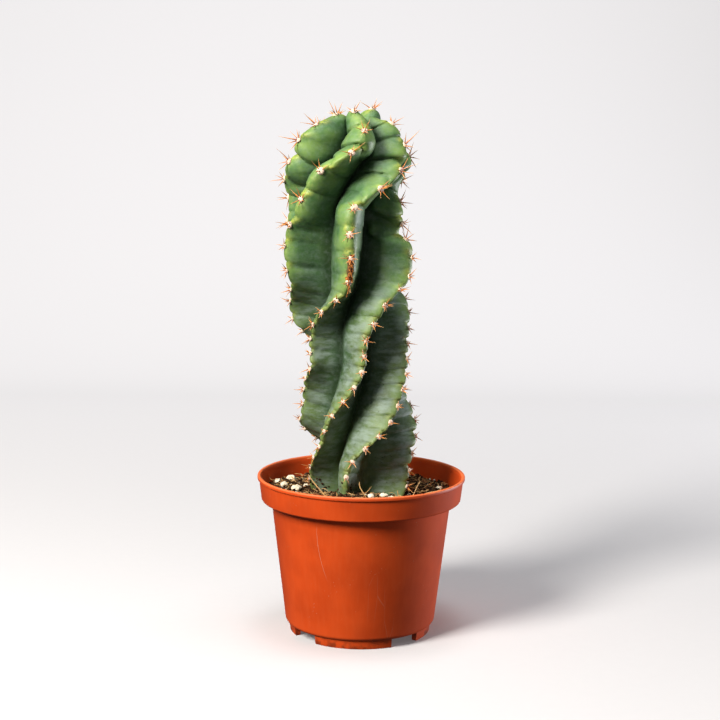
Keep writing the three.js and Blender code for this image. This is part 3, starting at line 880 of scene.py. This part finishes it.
def columnSides():
    # the places across a rib, closer together beside the valleys
    half = stem["stepsAcrossRib"] // 2
    sides = []
    for n in range(-half, half):
        share = abs(n) / half
        bend = math.pi / 2 * (1 - (1 - share) ** stem["valleyCrowding"])
        sides.append(math.copysign(math.sin(bend), n))
    return sides


def addStem():
    heights = rowHeights()
    sides = columnSides()
    across = stem["ribs"] * len(sides)
    up = len(heights) + 1
    scar = stem["scar"]
    bm = bmesh.new()
    crestField, lobeField, browField, foldShadeField, scarField = [fieldOf(bm, name) for name in skinFields]
    bmesh.ops.create_grid(bm, x_segments=across, y_segments=up, size=0.5)
    foot = Vector((middle(stem["rootTip"]), 0, stem["rootTip"] - 1.5))
    apex = Vector((middle(stemTop), 0, meridian(0, stemTop)[3]))
    for point in bm.verts:
        column = round((point.co.x + 0.5) * across) % across
        row = round((point.co.y + 0.5) * up) - 1
        rib, step = divmod(column, len(sides))
        if row < 0 or row >= len(heights):
            point.co = foot if row < 0 else apex
            continue
        height = heights[row]
        side = sides[step]
        point.co, out, lobe = stemPoint(rib, side, height)
        low, high = neighbours(rib, height)
        stretch = (crestPoint(rib, height) - crestPoint(rib, low)).length
        point[crestField] = out
        point[lobeField] = lobe
        point[browField] = bell((stretch - stem["browAbove"]) / stem["browReach"]) * smooth(0.8, 0.98, out)
        # where painted shade lies in the folds above the areoles
        point[foldShadeField] = smooth(0.45, 0.0, lobe) * smooth(0.02, 0.3, out)
        if rib == scar["rib"]:
            point[scarField] = bell((height - scar["height"]) / scar["reach"]) * bell(side / scar["side"])
    mend(bm)
    bm.normal_update()
    for point in bm.verts:
        place = point.co
        rough = noise.noise(place / 9) + 0.5 * noise.noise(place / 4)
        fine = noise.noise(place / 1.3)
        brow = stem["browRelief"] * point[browField]
        relief = stem["roughRelief"] * rough + stem["fineRelief"] * fine + brow
        point.co = place + point.normal * relief * smooth(0, 3, (place - apex).length)
    tree = BVHTree.FromBMesh(bm)
    finishPiece(bm, "cereus_skin", skinMaterial(), "cereus_stem", 75)
    return tree


def skinMaterial():
    material, plug, place = newMaterial("cereusSkin", specular=0.4)
    crest, lobe, brow, fold, scarring = [place.field(name) for name in skinFields]
    height = place.part("Z")
    young = height.between(stem["oldTop"] * mm, stem["youngFoot"] * mm)
    # the painted valley shade is kept off the lower stem
    above = height.between(0.1, 0.15)
    patch = place.cloud(13, detail=4, roughness=0.55)
    fine = place.cloud(2.2, detail=4, roughness=0.6)
    streak = place.stretched(0.5, 0.5, 1.5).cloud(5, detail=5, roughness=0.65)
    old = 1 - young * 0.85
    waxy = streak.between(0.36, 0.66) * old * crest.between(0.04, 0.4) * crest.between(1.0, 0.8)
    margin = crest.between(0.9, 0.99) * fine.between(0.35, 0.65) * 0.2 + brow * fine.between(0.25, 0.6) * 0.55
    specks = place.stretched(0.5, 0.5, 1).cells(1.3)
    pits = specks.between(0.22, 0.1) * place.cloud(9).between(0.54, 0.66) * old
    corky = place.cloud(7, detail=5, roughness=0.7).between(0.66, 0.74)
    corky = corky * place.cloud(1.1, detail=2).between(0.4, 0.6)
    scar = (scarring + fine * 0.7 - 0.35).between(0.35, 0.6)
    crust = scar * place.cloud(0.9, detail=4, roughness=0.7).between(0.42, 0.6)
    base = layered(young.paint(stem["oliveGreen"], stem["middleGreen"]), stem, [
        (patch.between(0.4, 0.7) * (0.25 + young * 0.55), "freshAndLitGreen"),
        (patch.between(0.5, 0.25) * 0.6, "deepAndShadeGreen"),
        # painted shade darkens the flanks and valleys, and painted highlight freshens the swellings
        (crest.between(0.96, 0.1) * (0.4 + above * 0.45), "deepAndShadeGreen"),
        (crest.between(0.3, 0.05) * above * 0.55, "valleyShadeGreen"),
        (crest.between(0.7, 1.0) * lobe.between(0.5, 1) * 0.25, "freshAndLitGreen"),
        # a waxy bloom lies over the older flanks and thinly over the young ones
        (waxy * 0.5, "waxColour"),
        (fine.between(0.4, 0.75) * 0.14, "waxColour"),
        # painted shade in the folds
        (fold * (0.22 + young * 0.13), "deepAndShadeGreen"),
        (margin * (0.45 + young * 0.55), "marginColour"),
        (corky * 0.5, "scarColour"),
        (pits * 0.85, "pitColour"),
        (scar * 0.75, "scarColour"),
        (crust * 0.9, "crustColour"),
    ])
    roughness = 0.42 + waxy * 0.18 + fine * 0.12 + pits * 0.2 + scar * 0.3
    grain = place.cloud(0.55) * 0.5 + fine * 0.9 + streak * 0.8 - pits * 1.4 + crust * 1.5
    plug(colour=base, roughness=roughness, normal=grain.bump(0.4, 0.35))
    return material


# Areoles: wool pads with spines

areole = {
    "soilClearance": 3,
    "padRadius": curve([(100, 1.45), (190, 1.6), (240, 2), (290, 2.1)]),
    "padSpread": (0.88, 1.12),
    "padFlatness": 0.55,
    "padLift": 0.2,
    "tufts": 16,
    "tuftLength": 1.1,
    "tuftSpread": (0.6, 1.2),
    "tuftRadius": 0.09,
    "tuftLean": (20, 80),
    "tuftRing": 0.62,
    "spineLength": curve([(80, 5), (180, 6), (240, 8.5), (285, 10.5), (309, 8.6)]),
    "radialTurns": (18, 72, 128, 186, 236, 304),
    "missing": curve([(90, 0.45), (190, 0.35), (250, 0.15)]),
    "radialLean": 64,
    "radialShare": 0.78,
    "centralTurns": (270, 95),
    "centralLean": 22,
    "turnSpread": (-22, 22),
    "leanSpread": (-16, 12),
    "lengthSpread": (0.5, 1.2),
    "widthSpread": (0.8, 1.15),
    "rootLift": 0.25,
    "rootRing": 0.55,
    "headroom": 0.4,
    "spineRadius": 0.36,
    "spineTipRadius": 0.03,
    "spineBend": 0.035,
    "woolColour": "#efd8c2",
    "woolShadow": "#bd8262",
    "rootColour": "#8a3416",
    "spineColour": "#d98a42",
    "tipColour": "#ecc088",
}


def areoleFrame(rib, height):
    # the seat, then across the crest, along it upwards and straight out of it
    along = (crestPoint(rib, height + 1) - crestPoint(rib, height - 1)).normalized()
    angle = ribAngle(rib, height)
    over = (height - stem["shoulder"]) / stem["domeHeight"]
    lift = math.tan(min(1.35, over)) if over > 0 else 0.1
    out = Vector((math.sin(angle), -math.cos(angle), lift))
    out = (out - along * out.dot(along)).normalized()
    seat = stemPoint(rib, 0, height)[0]
    return seat, along.cross(out), along, out


def isBuried(rib, height):
    # whether an areole lies so low that the mix would cover its spines
    angle = ribAngle(rib, height)
    aside = Vector((math.sin(angle), -math.cos(angle), 0)) * areole["spineLength"](height) / 2
    seat = crestPoint(rib, height) + aside
    return height < soilHeight(seat.x, seat.y) + areole["soilClearance"]


def spineTemplate():
    # one straight spine, a millimetre long and two wide, with its length in a field
    bm = bmesh.new()
    rings = 5
    bmesh.ops.create_circle(bm, cap_ends=True, segments=5, radius=1)
    edges = bm.edges[:]
    for ring in range(1, rings + 1):
        share = ring / rings
        made = bmesh.ops.extrude_edge_only(bm, edges=edges)["geom"]
        edges = [e for e in made if isinstance(e, bmesh.types.BMEdge)]
        width = 1 - share ** 1.3 * (1 - areole["spineTipRadius"] / areole["spineRadius"])
        for point in pointsIn(made):
            flat = Vector((point.co.x, point.co.y, 0)).normalized()
            point.co = flat * width + Vector((0, 0, share))
    bmesh.ops.contextual_create(bm, geom=edges)
    bmesh.ops.recalc_face_normals(bm, faces=bm.faces)
    along = fieldOf(bm, "along")
    for point in bm.verts:
        point[along] = point.co.z
    return meshOf(bm)


def padTemplate(seed):
    # a lumpy cushion of wool about a millimetre in radius
    bm = bmesh.new()
    bmesh.ops.create_icosphere(bm, subdivisions=2, radius=1)
    core = fieldOf(bm, "core")
    for point in bm.verts:
        lump = 1 + 0.22 * noise.noise(point.co * 1.9 + Vector((seed, 0, 0)))
        point[core] = smooth(0.72, 1, point.co.z)
        point.co *= lump
        point.co.z *= areole["padFlatness"] * (1 - 0.25 * point[core])
    return meshOf(bm)


def addAreoles():
    draw = random.Random(4)
    pads = Batches("core")
    spines = Batches("along")
    cushions = [padTemplate(seed) for seed in (1, 7, 13, 22)]
    needle = spineTemplate()
    for rib in range(stem["ribs"]):
        for height in areoles[rib]:
            if not isBuried(rib, height):
                seating = areoleFrame(rib, height)
                addPad(pads, cushions, needle, seating, areole["padRadius"](height), draw)
                addCluster(spines, needle, seating, height, draw)
    finishPiece(pads.gathered(), "areole_wool", woolMaterial(), "cereus_stem", 60)
    finishPiece(spines.gathered(), "spines", spineMaterial(), "cereus_stem", 60)


def addPad(pads, cushions, needle, seating, radius, draw):
    # a cushion of wool with tufts that stand out of it
    seat, across, along, out = seating
    size = radius * draw.uniform(*areole["padSpread"])
    turned = Matrix((across, along, out)).transposed().to_4x4()
    here = Matrix.Translation(seat + out * areole["padLift"]) @ turned
    pads.stamp(draw.choice(cushions), here @ anyTurn(draw) @ Matrix.Scale(size, 4))
    for tuft in range(areole["tufts"]):
        turn = draw.uniform(0, 2 * math.pi)
        lean = math.radians(draw.uniform(*areole["tuftLean"]))
        aside = across * math.cos(turn) + along * math.sin(turn)
        heading = out * math.cos(lean) + aside * math.sin(lean)
        root = seat + out * areole["padLift"] + aside * size * areole["tuftRing"]
        length = areole["tuftLength"] * draw.uniform(*areole["tuftSpread"])
        hair = Matrix.Diagonal((areole["tuftRadius"], areole["tuftRadius"], length, 1))
        pads.stamp(needle, Matrix.Translation(root) @ facing(heading) @ hair)


def addCluster(spines, needle, seating, height, draw):
    seat, across, along, out = seating
    highest = cadBox[1].z / mm - areole["headroom"]
    plan = [(turn, areole["radialLean"], areole["radialShare"]) for turn in areole["radialTurns"]]
    plan += [(turn, areole["centralLean"], 1.0) for turn in areole["centralTurns"][:draw.choice((1, 1, 2))]]
    for turn, lean, share in plan:
        if share < 1 and draw.random() < areole["missing"](height):
            continue
        turn = math.radians(turn + draw.uniform(*areole["turnSpread"]))
        lean = math.radians(lean + draw.uniform(*areole["leanSpread"]))
        aside = across * math.cos(turn) + along * math.sin(turn)
        heading = (out * math.cos(lean) + aside * math.sin(lean)).normalized()
        length = areole["spineLength"](height) * share * draw.uniform(*areole["lengthSpread"])
        root = seat + out * areole["rootLift"] + aside * areole["rootRing"] * math.sin(lean)
        if root.z + heading.z * length > highest:
            length = max(1.0, (highest - root.z) / heading.z)
        addSpine(spines, needle, root, heading, length, draw)


def addSpine(spines, needle, root, heading, length, draw):
    width = areole["spineRadius"] * draw.uniform(*areole["widthSpread"])
    lie = facing(heading, draw.uniform(0, 6))
    bend = areole["spineBend"] * length * draw.uniform(-1, 1)
    stampBent(spines, needle, root, lie, length, width, bend, 0)


def addScar():
    # dry scabs on the crest of one rib, with a strand that hangs from them
    scar = stem["scar"]
    draw = random.Random(14)
    shapes = crumbShapes((21, 22, 23), 2)
    scabs = Batches()
    for n in range(scar["scabs"]):
        height = scar["height"] + draw.uniform(-1, 1) * scar["reach"]
        place = stemPoint(scar["rib"], draw.uniform(-0.2, 0.2), height)[0]
        size = draw.uniform(*scar["scabSize"])
        turn = anyTurn(draw, "X") @ anyTurn(draw, "Y", -0.5, 0.5)
        long = Matrix.Diagonal((size, size, size * 1.6, 1))
        scabs.stamp(draw.choice(shapes), Matrix.Translation(place) @ turn @ long)
    strand = strandTemplate()
    for high, low, width, bend in scar["strands"]:
        start = stemPoint(scar["rib"], -0.1, high)[0] + Vector((0, -0.8, 0))
        addStrand(scabs, strand, start, start + Vector(low), width, bend)
    finishPiece(scabs.gathered(), "scar_crust", crustMaterial(), "cereus_stem", 40)


def crustMaterial():
    material, plug, place = newMaterial("scarCrust", specular=0.2)
    lump = place.cloud(1.1, detail=4, roughness=0.65)
    colour = lump.between(0.4, 0.62).paint(stem["crustColour"], areole["spineColour"])
    plug(colour=colour, roughness=0.75 + lump * 0.2, normal=lump.bump(0.8, 0.4))
    return material


def woolMaterial():
    material, plug, place = newMaterial("areoleWool", roughness=0.95, specular=0.15, sheen=0.3)
    fuzz = place.cloud(0.35, roughness=0.7)
    colour = layered(areole["woolColour"], areole, [
        (fuzz.between(0.5, 0.3), "woolShadow"),
        (place.field("core").between(0.75, 1.0) * fuzz.between(0.35, 0.55) * 0.8, "rootColour"),
    ])
    plug(colour=colour, normal=fuzz.bump(0.5, 0.2))
    return material


def spineMaterial():
    material, plug, place = newMaterial("spineHorn", specular=0.5)
    along = place.field("along")
    mottle = place.cloud(1.6)
    colour = layered(areole["rootColour"], areole, [
        (along.between(0.05, 0.4), "spineColour"),
        (along.between(0.45, 0.95) * mottle.between(0.25, 0.6), "tipColour"),
        (mottle.between(0.55, 0.75) * 0.4, "rootColour"),
    ])
    relief = place.cloud(0.3, detail=2).bump(0.3, 0.08)
    plug(colour=colour, roughness=0.38 + mottle * 0.2, normal=relief)
    return material


# Potting mix with its crumbs, fibres and grains

mix = {
    # where the mix is piled up: x, y, millimetres, reach
    "piles": [(-19, -38, 5.5, 17), (9, -38, 6, 17), (-47, 4, 3.5, 18)],
    "topRadius": 56.0,
    "innerRadius": 16,
    "edgeGap": 0.5,
    "clearance": 0.35,
    "relief": 0.9,
    "clumps": 1.1,
    "rings": 78,
    "steps": 300,
    "fibres": 420,
    "longFibres": 25,
    "longLength": (8, 14),
    "longWidth": (0.25, 0.42),
    "shortLength": (2.5, 9),
    "shortWidth": (0.1, 0.22),
    "splashes": 90,
    "splashSize": (0.25, 0.9),
    "splashHeight": 9,
    "splashFall": 4.5,
    "splashX": -16,
    "splashReach": 16,
    "splashElsewhere": 0.15,
    "grains": 12,
    # straws that stand out: foot, tip, half width, bend
    "straws": [
        ((-19, -37, 86), (-29.5, -33, 98.5), 0.42, 0.5),
        ((3.2, -40, 86), (-1, -38.5, 96), 0.36, 1.3),
        ((25.5, -36.5, 83), (33, -33, 95.5), 0.4, -0.8),
        ((21, -40, 86), (20, -41, 92), 0.3, 0.3),
    ],
    "darkColour": "#22160e",
    "peatColour": "#46301d",
    "clumpColour": "#6d4c31",
    "strawColour": "#d8ab6c",
    "fibreColour": "#b8946a",
    "barkColour": "#7a4d2c",
    "chipColour": "#a87a4e",
    "grainColour": "#ece2cb",
    "grainStain": "#b3966a",
}


def soilHeight(x, y):
    wave = math.sin(x * 0.21 + 1.3) * math.cos(y * 0.17) + 0.5 * math.sin(x * 0.47 - y * 0.39)
    height = soilLevel + mix["relief"] * wave * 0.8
    for pileX, pileY, rise, reach in mix["piles"]:
        height += rise * bell(math.hypot(x - pileX, y - pileY) / reach)
    return height


def soilSurface(x, y):
    # the height of the mix with its clumps
    place = Vector((x, y, 0))
    clump = noise.noise(place / 5) + 0.6 * noise.noise(place / 2.2) + 0.35 * noise.noise(place / 1.1)
    edge = smooth(mix["topRadius"], mix["topRadius"] - 4, math.hypot(x, y))
    return soilHeight(x, y) - 0.7 * (1 - edge) + mix["clumps"] * clump * edge


def addSoil():
    bm = bmesh.new()
    inner = pot["wall"] + mix["clearance"]
    bottom = floorHeight + mix["clearance"]
    radius = mix["topRadius"]
    drawProfile(bm, [(radius * n / mix["rings"], soilLevel) for n in range(mix["rings"])] + [
        (radius, soilLevel),
        (radius, bandFoot + inner + 0.1),
        (bodyRadius(bandFoot) - inner, bandFoot + pot["wall"] + 0.1),
        (bodyRadius(bottom + 1.8) - inner, bottom + 1.8),
        (bodyRadius(bottom) - inner - 1.8, bottom),
        (0, bottom),
    ])
    turnProfile(bm, mix["steps"])
    for point in bm.verts:
        if point.co.z > soilLevel - 0.1:
            point.co.z = soilSurface(point.co.x, point.co.y)
    finishPiece(bm, "peat_mix", peatMaterial("peatMix"), "potting_mix", 50)


def crumbShapes(seeds, fineness):
    # lumpy grains about a millimetre in radius
    shapes = []
    for seed in seeds:
        bm = bmesh.new()
        bmesh.ops.create_icosphere(bm, subdivisions=fineness, radius=1)
        for point in bm.verts:
            point.co *= 1 + 0.5 * noise.noise(point.co * 1.4 + Vector((seed * 3.7, 0, 0)))
        bmesh.ops.scale(bm, vec=(1.2, 0.9, 0.75), verts=bm.verts)
        shapes.append(meshOf(bm))
    return shapes


def openPlace(draw, tree, margin, reach):
    # a place on the mix outside the stem
    while True:
        angle = draw.uniform(0, 2 * math.pi)
        outer = mix["topRadius"] - mix["edgeGap"] - reach
        distance = math.sqrt(draw.uniform(mix["innerRadius"] ** 2, outer ** 2))
        place = Vector((distance * math.cos(angle), distance * math.sin(angle), 0))
        place.z = soilSurface(place.x, place.y)
        spot, normal = tree.find_nearest(place)[:2]
        if (place - spot).dot(normal) > margin:
            return place


def tumbled(draw, size):
    return anyTurn(draw, "X") @ anyTurn(draw, "Z") @ Matrix.Scale(size, 4)


def laidFlat(draw, size):
    tilt = anyTurn(draw, "X", -0.7, 0.7) @ anyTurn(draw, "Y", -0.7, 0.7)
    flat = Matrix.Diagonal((size * draw.uniform(0.9, 1.5), size * 0.7, size * 0.32, 1))
    return anyTurn(draw) @ tilt @ flat


# what lies loose on the mix; a kind is a count, its sizes, the seeds of its shapes and their fineness
litter = {
    "peat_crumbs": {
        "seed": 8,
        "kinds": [(260, (0.7, 1.5), (0, 1, 2, 3), 2), (1700, (0.28, 0.75), (0, 1, 2, 3), 1)],
        "margin": 0.3,
        "reach": 1,
        "lift": lambda draw: draw.uniform(-0.1, 0.7),
        "lie": tumbled,
    },
    "perlite_grit": {
        "seed": 31,
        "kinds": [(15, (0.9, 1.4), (5, 6, 7), 1), (115, (0.25, 0.8), (5, 6, 7), 1)],
        "margin": 0.4,
        "reach": 1,
        "lift": lambda draw: 0.4,
        "lie": tumbled,
    },
    "bark_chips": {
        "seed": 17,
        "kinds": [(190, (0.7, 1.9), (11, 12, 13, 14), 2)],
        "margin": 1,
        "reach": 1.3,
        "lift": lambda draw: 0.25,
        "lie": laidFlat,
    },
}


def strew(name, material, tree):
    look = litter[name]
    draw = random.Random(look["seed"])
    batches = Batches()
    for count, sizes, seeds, fineness in look["kinds"]:
        shapes = crumbShapes(seeds, fineness)
        for n in range(count):
            size = draw.uniform(*sizes)
            place = openPlace(draw, tree, size * look["margin"], size * look["reach"])
            place.z += size * look["lift"](draw)
            lie = look["lie"](draw, size)
            batches.stamp(draw.choice(shapes), Matrix.Translation(place) @ lie)
    finishPiece(batches.gathered(), name, material, "potting_mix", 30)


def strandTemplate():
    # a straw a millimetre long and two wide, with rings to bend it at
    bm = bmesh.new()
    bmesh.ops.create_cone(bm, cap_ends=True, segments=5, radius1=1, radius2=0.6, depth=1)
    bmesh.ops.translate(bm, vec=(0, 0, 0.5), verts=bm.verts)
    long = [e for e in bm.edges if abs(e.verts[0].co.z - e.verts[1].co.z) > 0.5]
    bmesh.ops.subdivide_edges(bm, edges=long, cuts=6)
    return meshOf(bm)


def addStrand(batches, strand, foot, tip, width, bend):
    along = tip - foot
    stampBent(batches, strand, foot, facing(along), along.length, width, bend, bend * 0.4)


def addFibres(tree):
    draw = random.Random(21)
    strand = strandTemplate()
    fibres = Batches()
    for foot, tip, width, bend in mix["straws"]:
        addStrand(fibres, strand, Vector(foot), Vector(tip), width, bend)
    for n in range(mix["fibres"]):
        kind = "long" if n < mix["longFibres"] else "short"
        length = draw.uniform(*mix[kind + "Length"])
        width = draw.uniform(*mix[kind + "Width"])
        place = openPlace(draw, tree, 1.0, 3)
        turn = draw.uniform(0, 2 * math.pi)
        climb = draw.uniform(-0.05, 0.35)
        along = Vector((math.cos(turn), math.sin(turn), climb)).normalized() * length
        end = place + along
        spot, normal = tree.find_nearest(end)[:2]
        outside = math.hypot(end.x, end.y) > mix["topRadius"] - mix["edgeGap"]
        if outside or (end - spot).dot(normal) < 0.3:
            continue
        place.z += 0.35
        addStrand(fibres, strand, place, place + along, width, draw.uniform(-0.25, 0.25) * length)
    finishPiece(fibres.gathered(), "straw_fibres", strawMaterial(), "potting_mix", 70)


def addSplashes():
    # crumbs that stick to the stem's foot
    draw = random.Random(5)
    shapes = crumbShapes((3, 4, 6), 1)
    splashes = Batches()
    while splashes.total < mix["splashes"]:
        rib = draw.randrange(stem["ribs"])
        height = soilLevel + draw.expovariate(1 / mix["splashFall"])
        place = stemPoint(rib, draw.uniform(-1, 1), height)[0]
        near = bell((place.x - mix["splashX"]) / mix["splashReach"]) if place.y < 0 else mix["splashElsewhere"]
        above = place.z - soilHeight(place.x, place.y)
        if not 0 < above < mix["splashHeight"] or draw.random() > near:
            continue
        lie = tumbled(draw, draw.uniform(*mix["splashSize"]))
        splashes.stamp(draw.choice(shapes), Matrix.Translation(place) @ lie)
    material = peatMaterial("stuckCrumbs")
    finishPiece(splashes.gathered(), "stuck_crumbs", material, "potting_mix", 30)


def addGrains():
    for n in range(1, mix["grains"] + 1):
        node = "perlite_grain_" + str(n)
        low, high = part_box(node)
        centre = (low + high) / 2 / mm
        size = (high - low) / 2 / mm
        bm = bmesh.new()
        bmesh.ops.create_icosphere(bm, subdivisions=4, radius=1)
        for point in bm.verts:
            spot = point.co.copy()
            lump = 0.88 + 0.26 * noise.noise(spot * 1.4 + Vector((n * 5, 0, 0)))
            pore = noise.noise(spot * 4.2 + Vector((0, n * 3, 0)))
            dent = max(0, noise.noise(spot * 5 + Vector((n, n, 0))) - 0.15)
            point.co = spot * (lump + 0.06 * pore - 0.16 * dent)
        bmesh.ops.scale(bm, vec=size, verts=bm.verts)
        bmesh.ops.translate(bm, vec=centre, verts=bm.verts)
        finishPiece(bm, "perlite_" + str(n), perliteMaterial(), node, 60)


def peatMaterial(name):
    material, plug, place = newMaterial(name, specular=0.12)
    lump = place.cloud(1.6, detail=5, roughness=0.65)
    spot = place.cloud(0.5)
    flecks = place.cells(0.8, output=1).part("X").between(0.93, 0.96) * spot.between(0.4, 0.6)
    colour = layered(mix["darkColour"], mix, [
        (lump.between(0.36, 0.66), "peatColour"),
        (spot.between(0.5, 0.72) * place.cloud(9).between(0.35, 0.65) * 0.8, "clumpColour"),
        (flecks * 0.7, "fibreColour"),
    ])
    plug(colour=colour, roughness=0.86 + spot * 0.12, normal=(lump + spot * 0.6).bump(0.9, 0.6))
    return material


def barkMaterial():
    material, plug, place = newMaterial("barkChip", specular=0.2)
    grain = place.stretched(1, 4, 1).cloud(1.2, detail=4, roughness=0.6)
    colour = layered(mix["barkColour"], mix, [
        (place.cloud(3, detail=2).between(0.35, 0.65), "chipColour"),
        (grain.between(0.45, 0.65) * 0.6, "peatColour"),
    ])
    plug(colour=colour, roughness=0.75 + grain * 0.2, normal=grain.bump(0.7, 0.3))
    return material


def strawMaterial():
    material, plug, place = newMaterial("strawFibre", specular=0.3)
    fine = place.cloud(0.6, detail=4)
    colour = layered(mix["fibreColour"], mix, [
        (place.cloud(5, detail=2).between(0.35, 0.62), "strawColour"),
        (fine.between(0.5, 0.7) * 0.5, "barkColour"),
    ])
    plug(colour=colour, roughness=0.62 + fine * 0.2, normal=fine.bump(0.5, 0.15))
    return material


def perliteMaterial():
    material, plug, place = newMaterial("perliteGrain", specular=0.25)
    pores = place.cells(0.7).between(0.3, 0.1)
    stain = place.cloud(3.5, detail=4, roughness=0.6)
    colour = layered(mix["grainColour"], mix, [
        (stain.between(0.5, 0.7) * 0.5, "grainStain"),
        (pores * 0.35, "grainStain"),
    ])
    plug(colour=colour, roughness=0.85 + stain * 0.1, normal=(stain * 0.5 - pores).bump(0.6, 0.3))
    return material


addCamera()
addLights()
addStage()
print("stage ready")
addPot()
print("pot ready")
skinTree = addStem()
addAreoles()
addScar()
print("stem ready")
addSoil()
strew("peat_crumbs", peatMaterial("peatCrumbs"), skinTree)
addFibres(skinTree)
strew("perlite_grit", perliteMaterial(), skinTree)
strew("bark_chips", barkMaterial(), skinTree)
addSplashes()
addGrains()
print("potting mix ready")
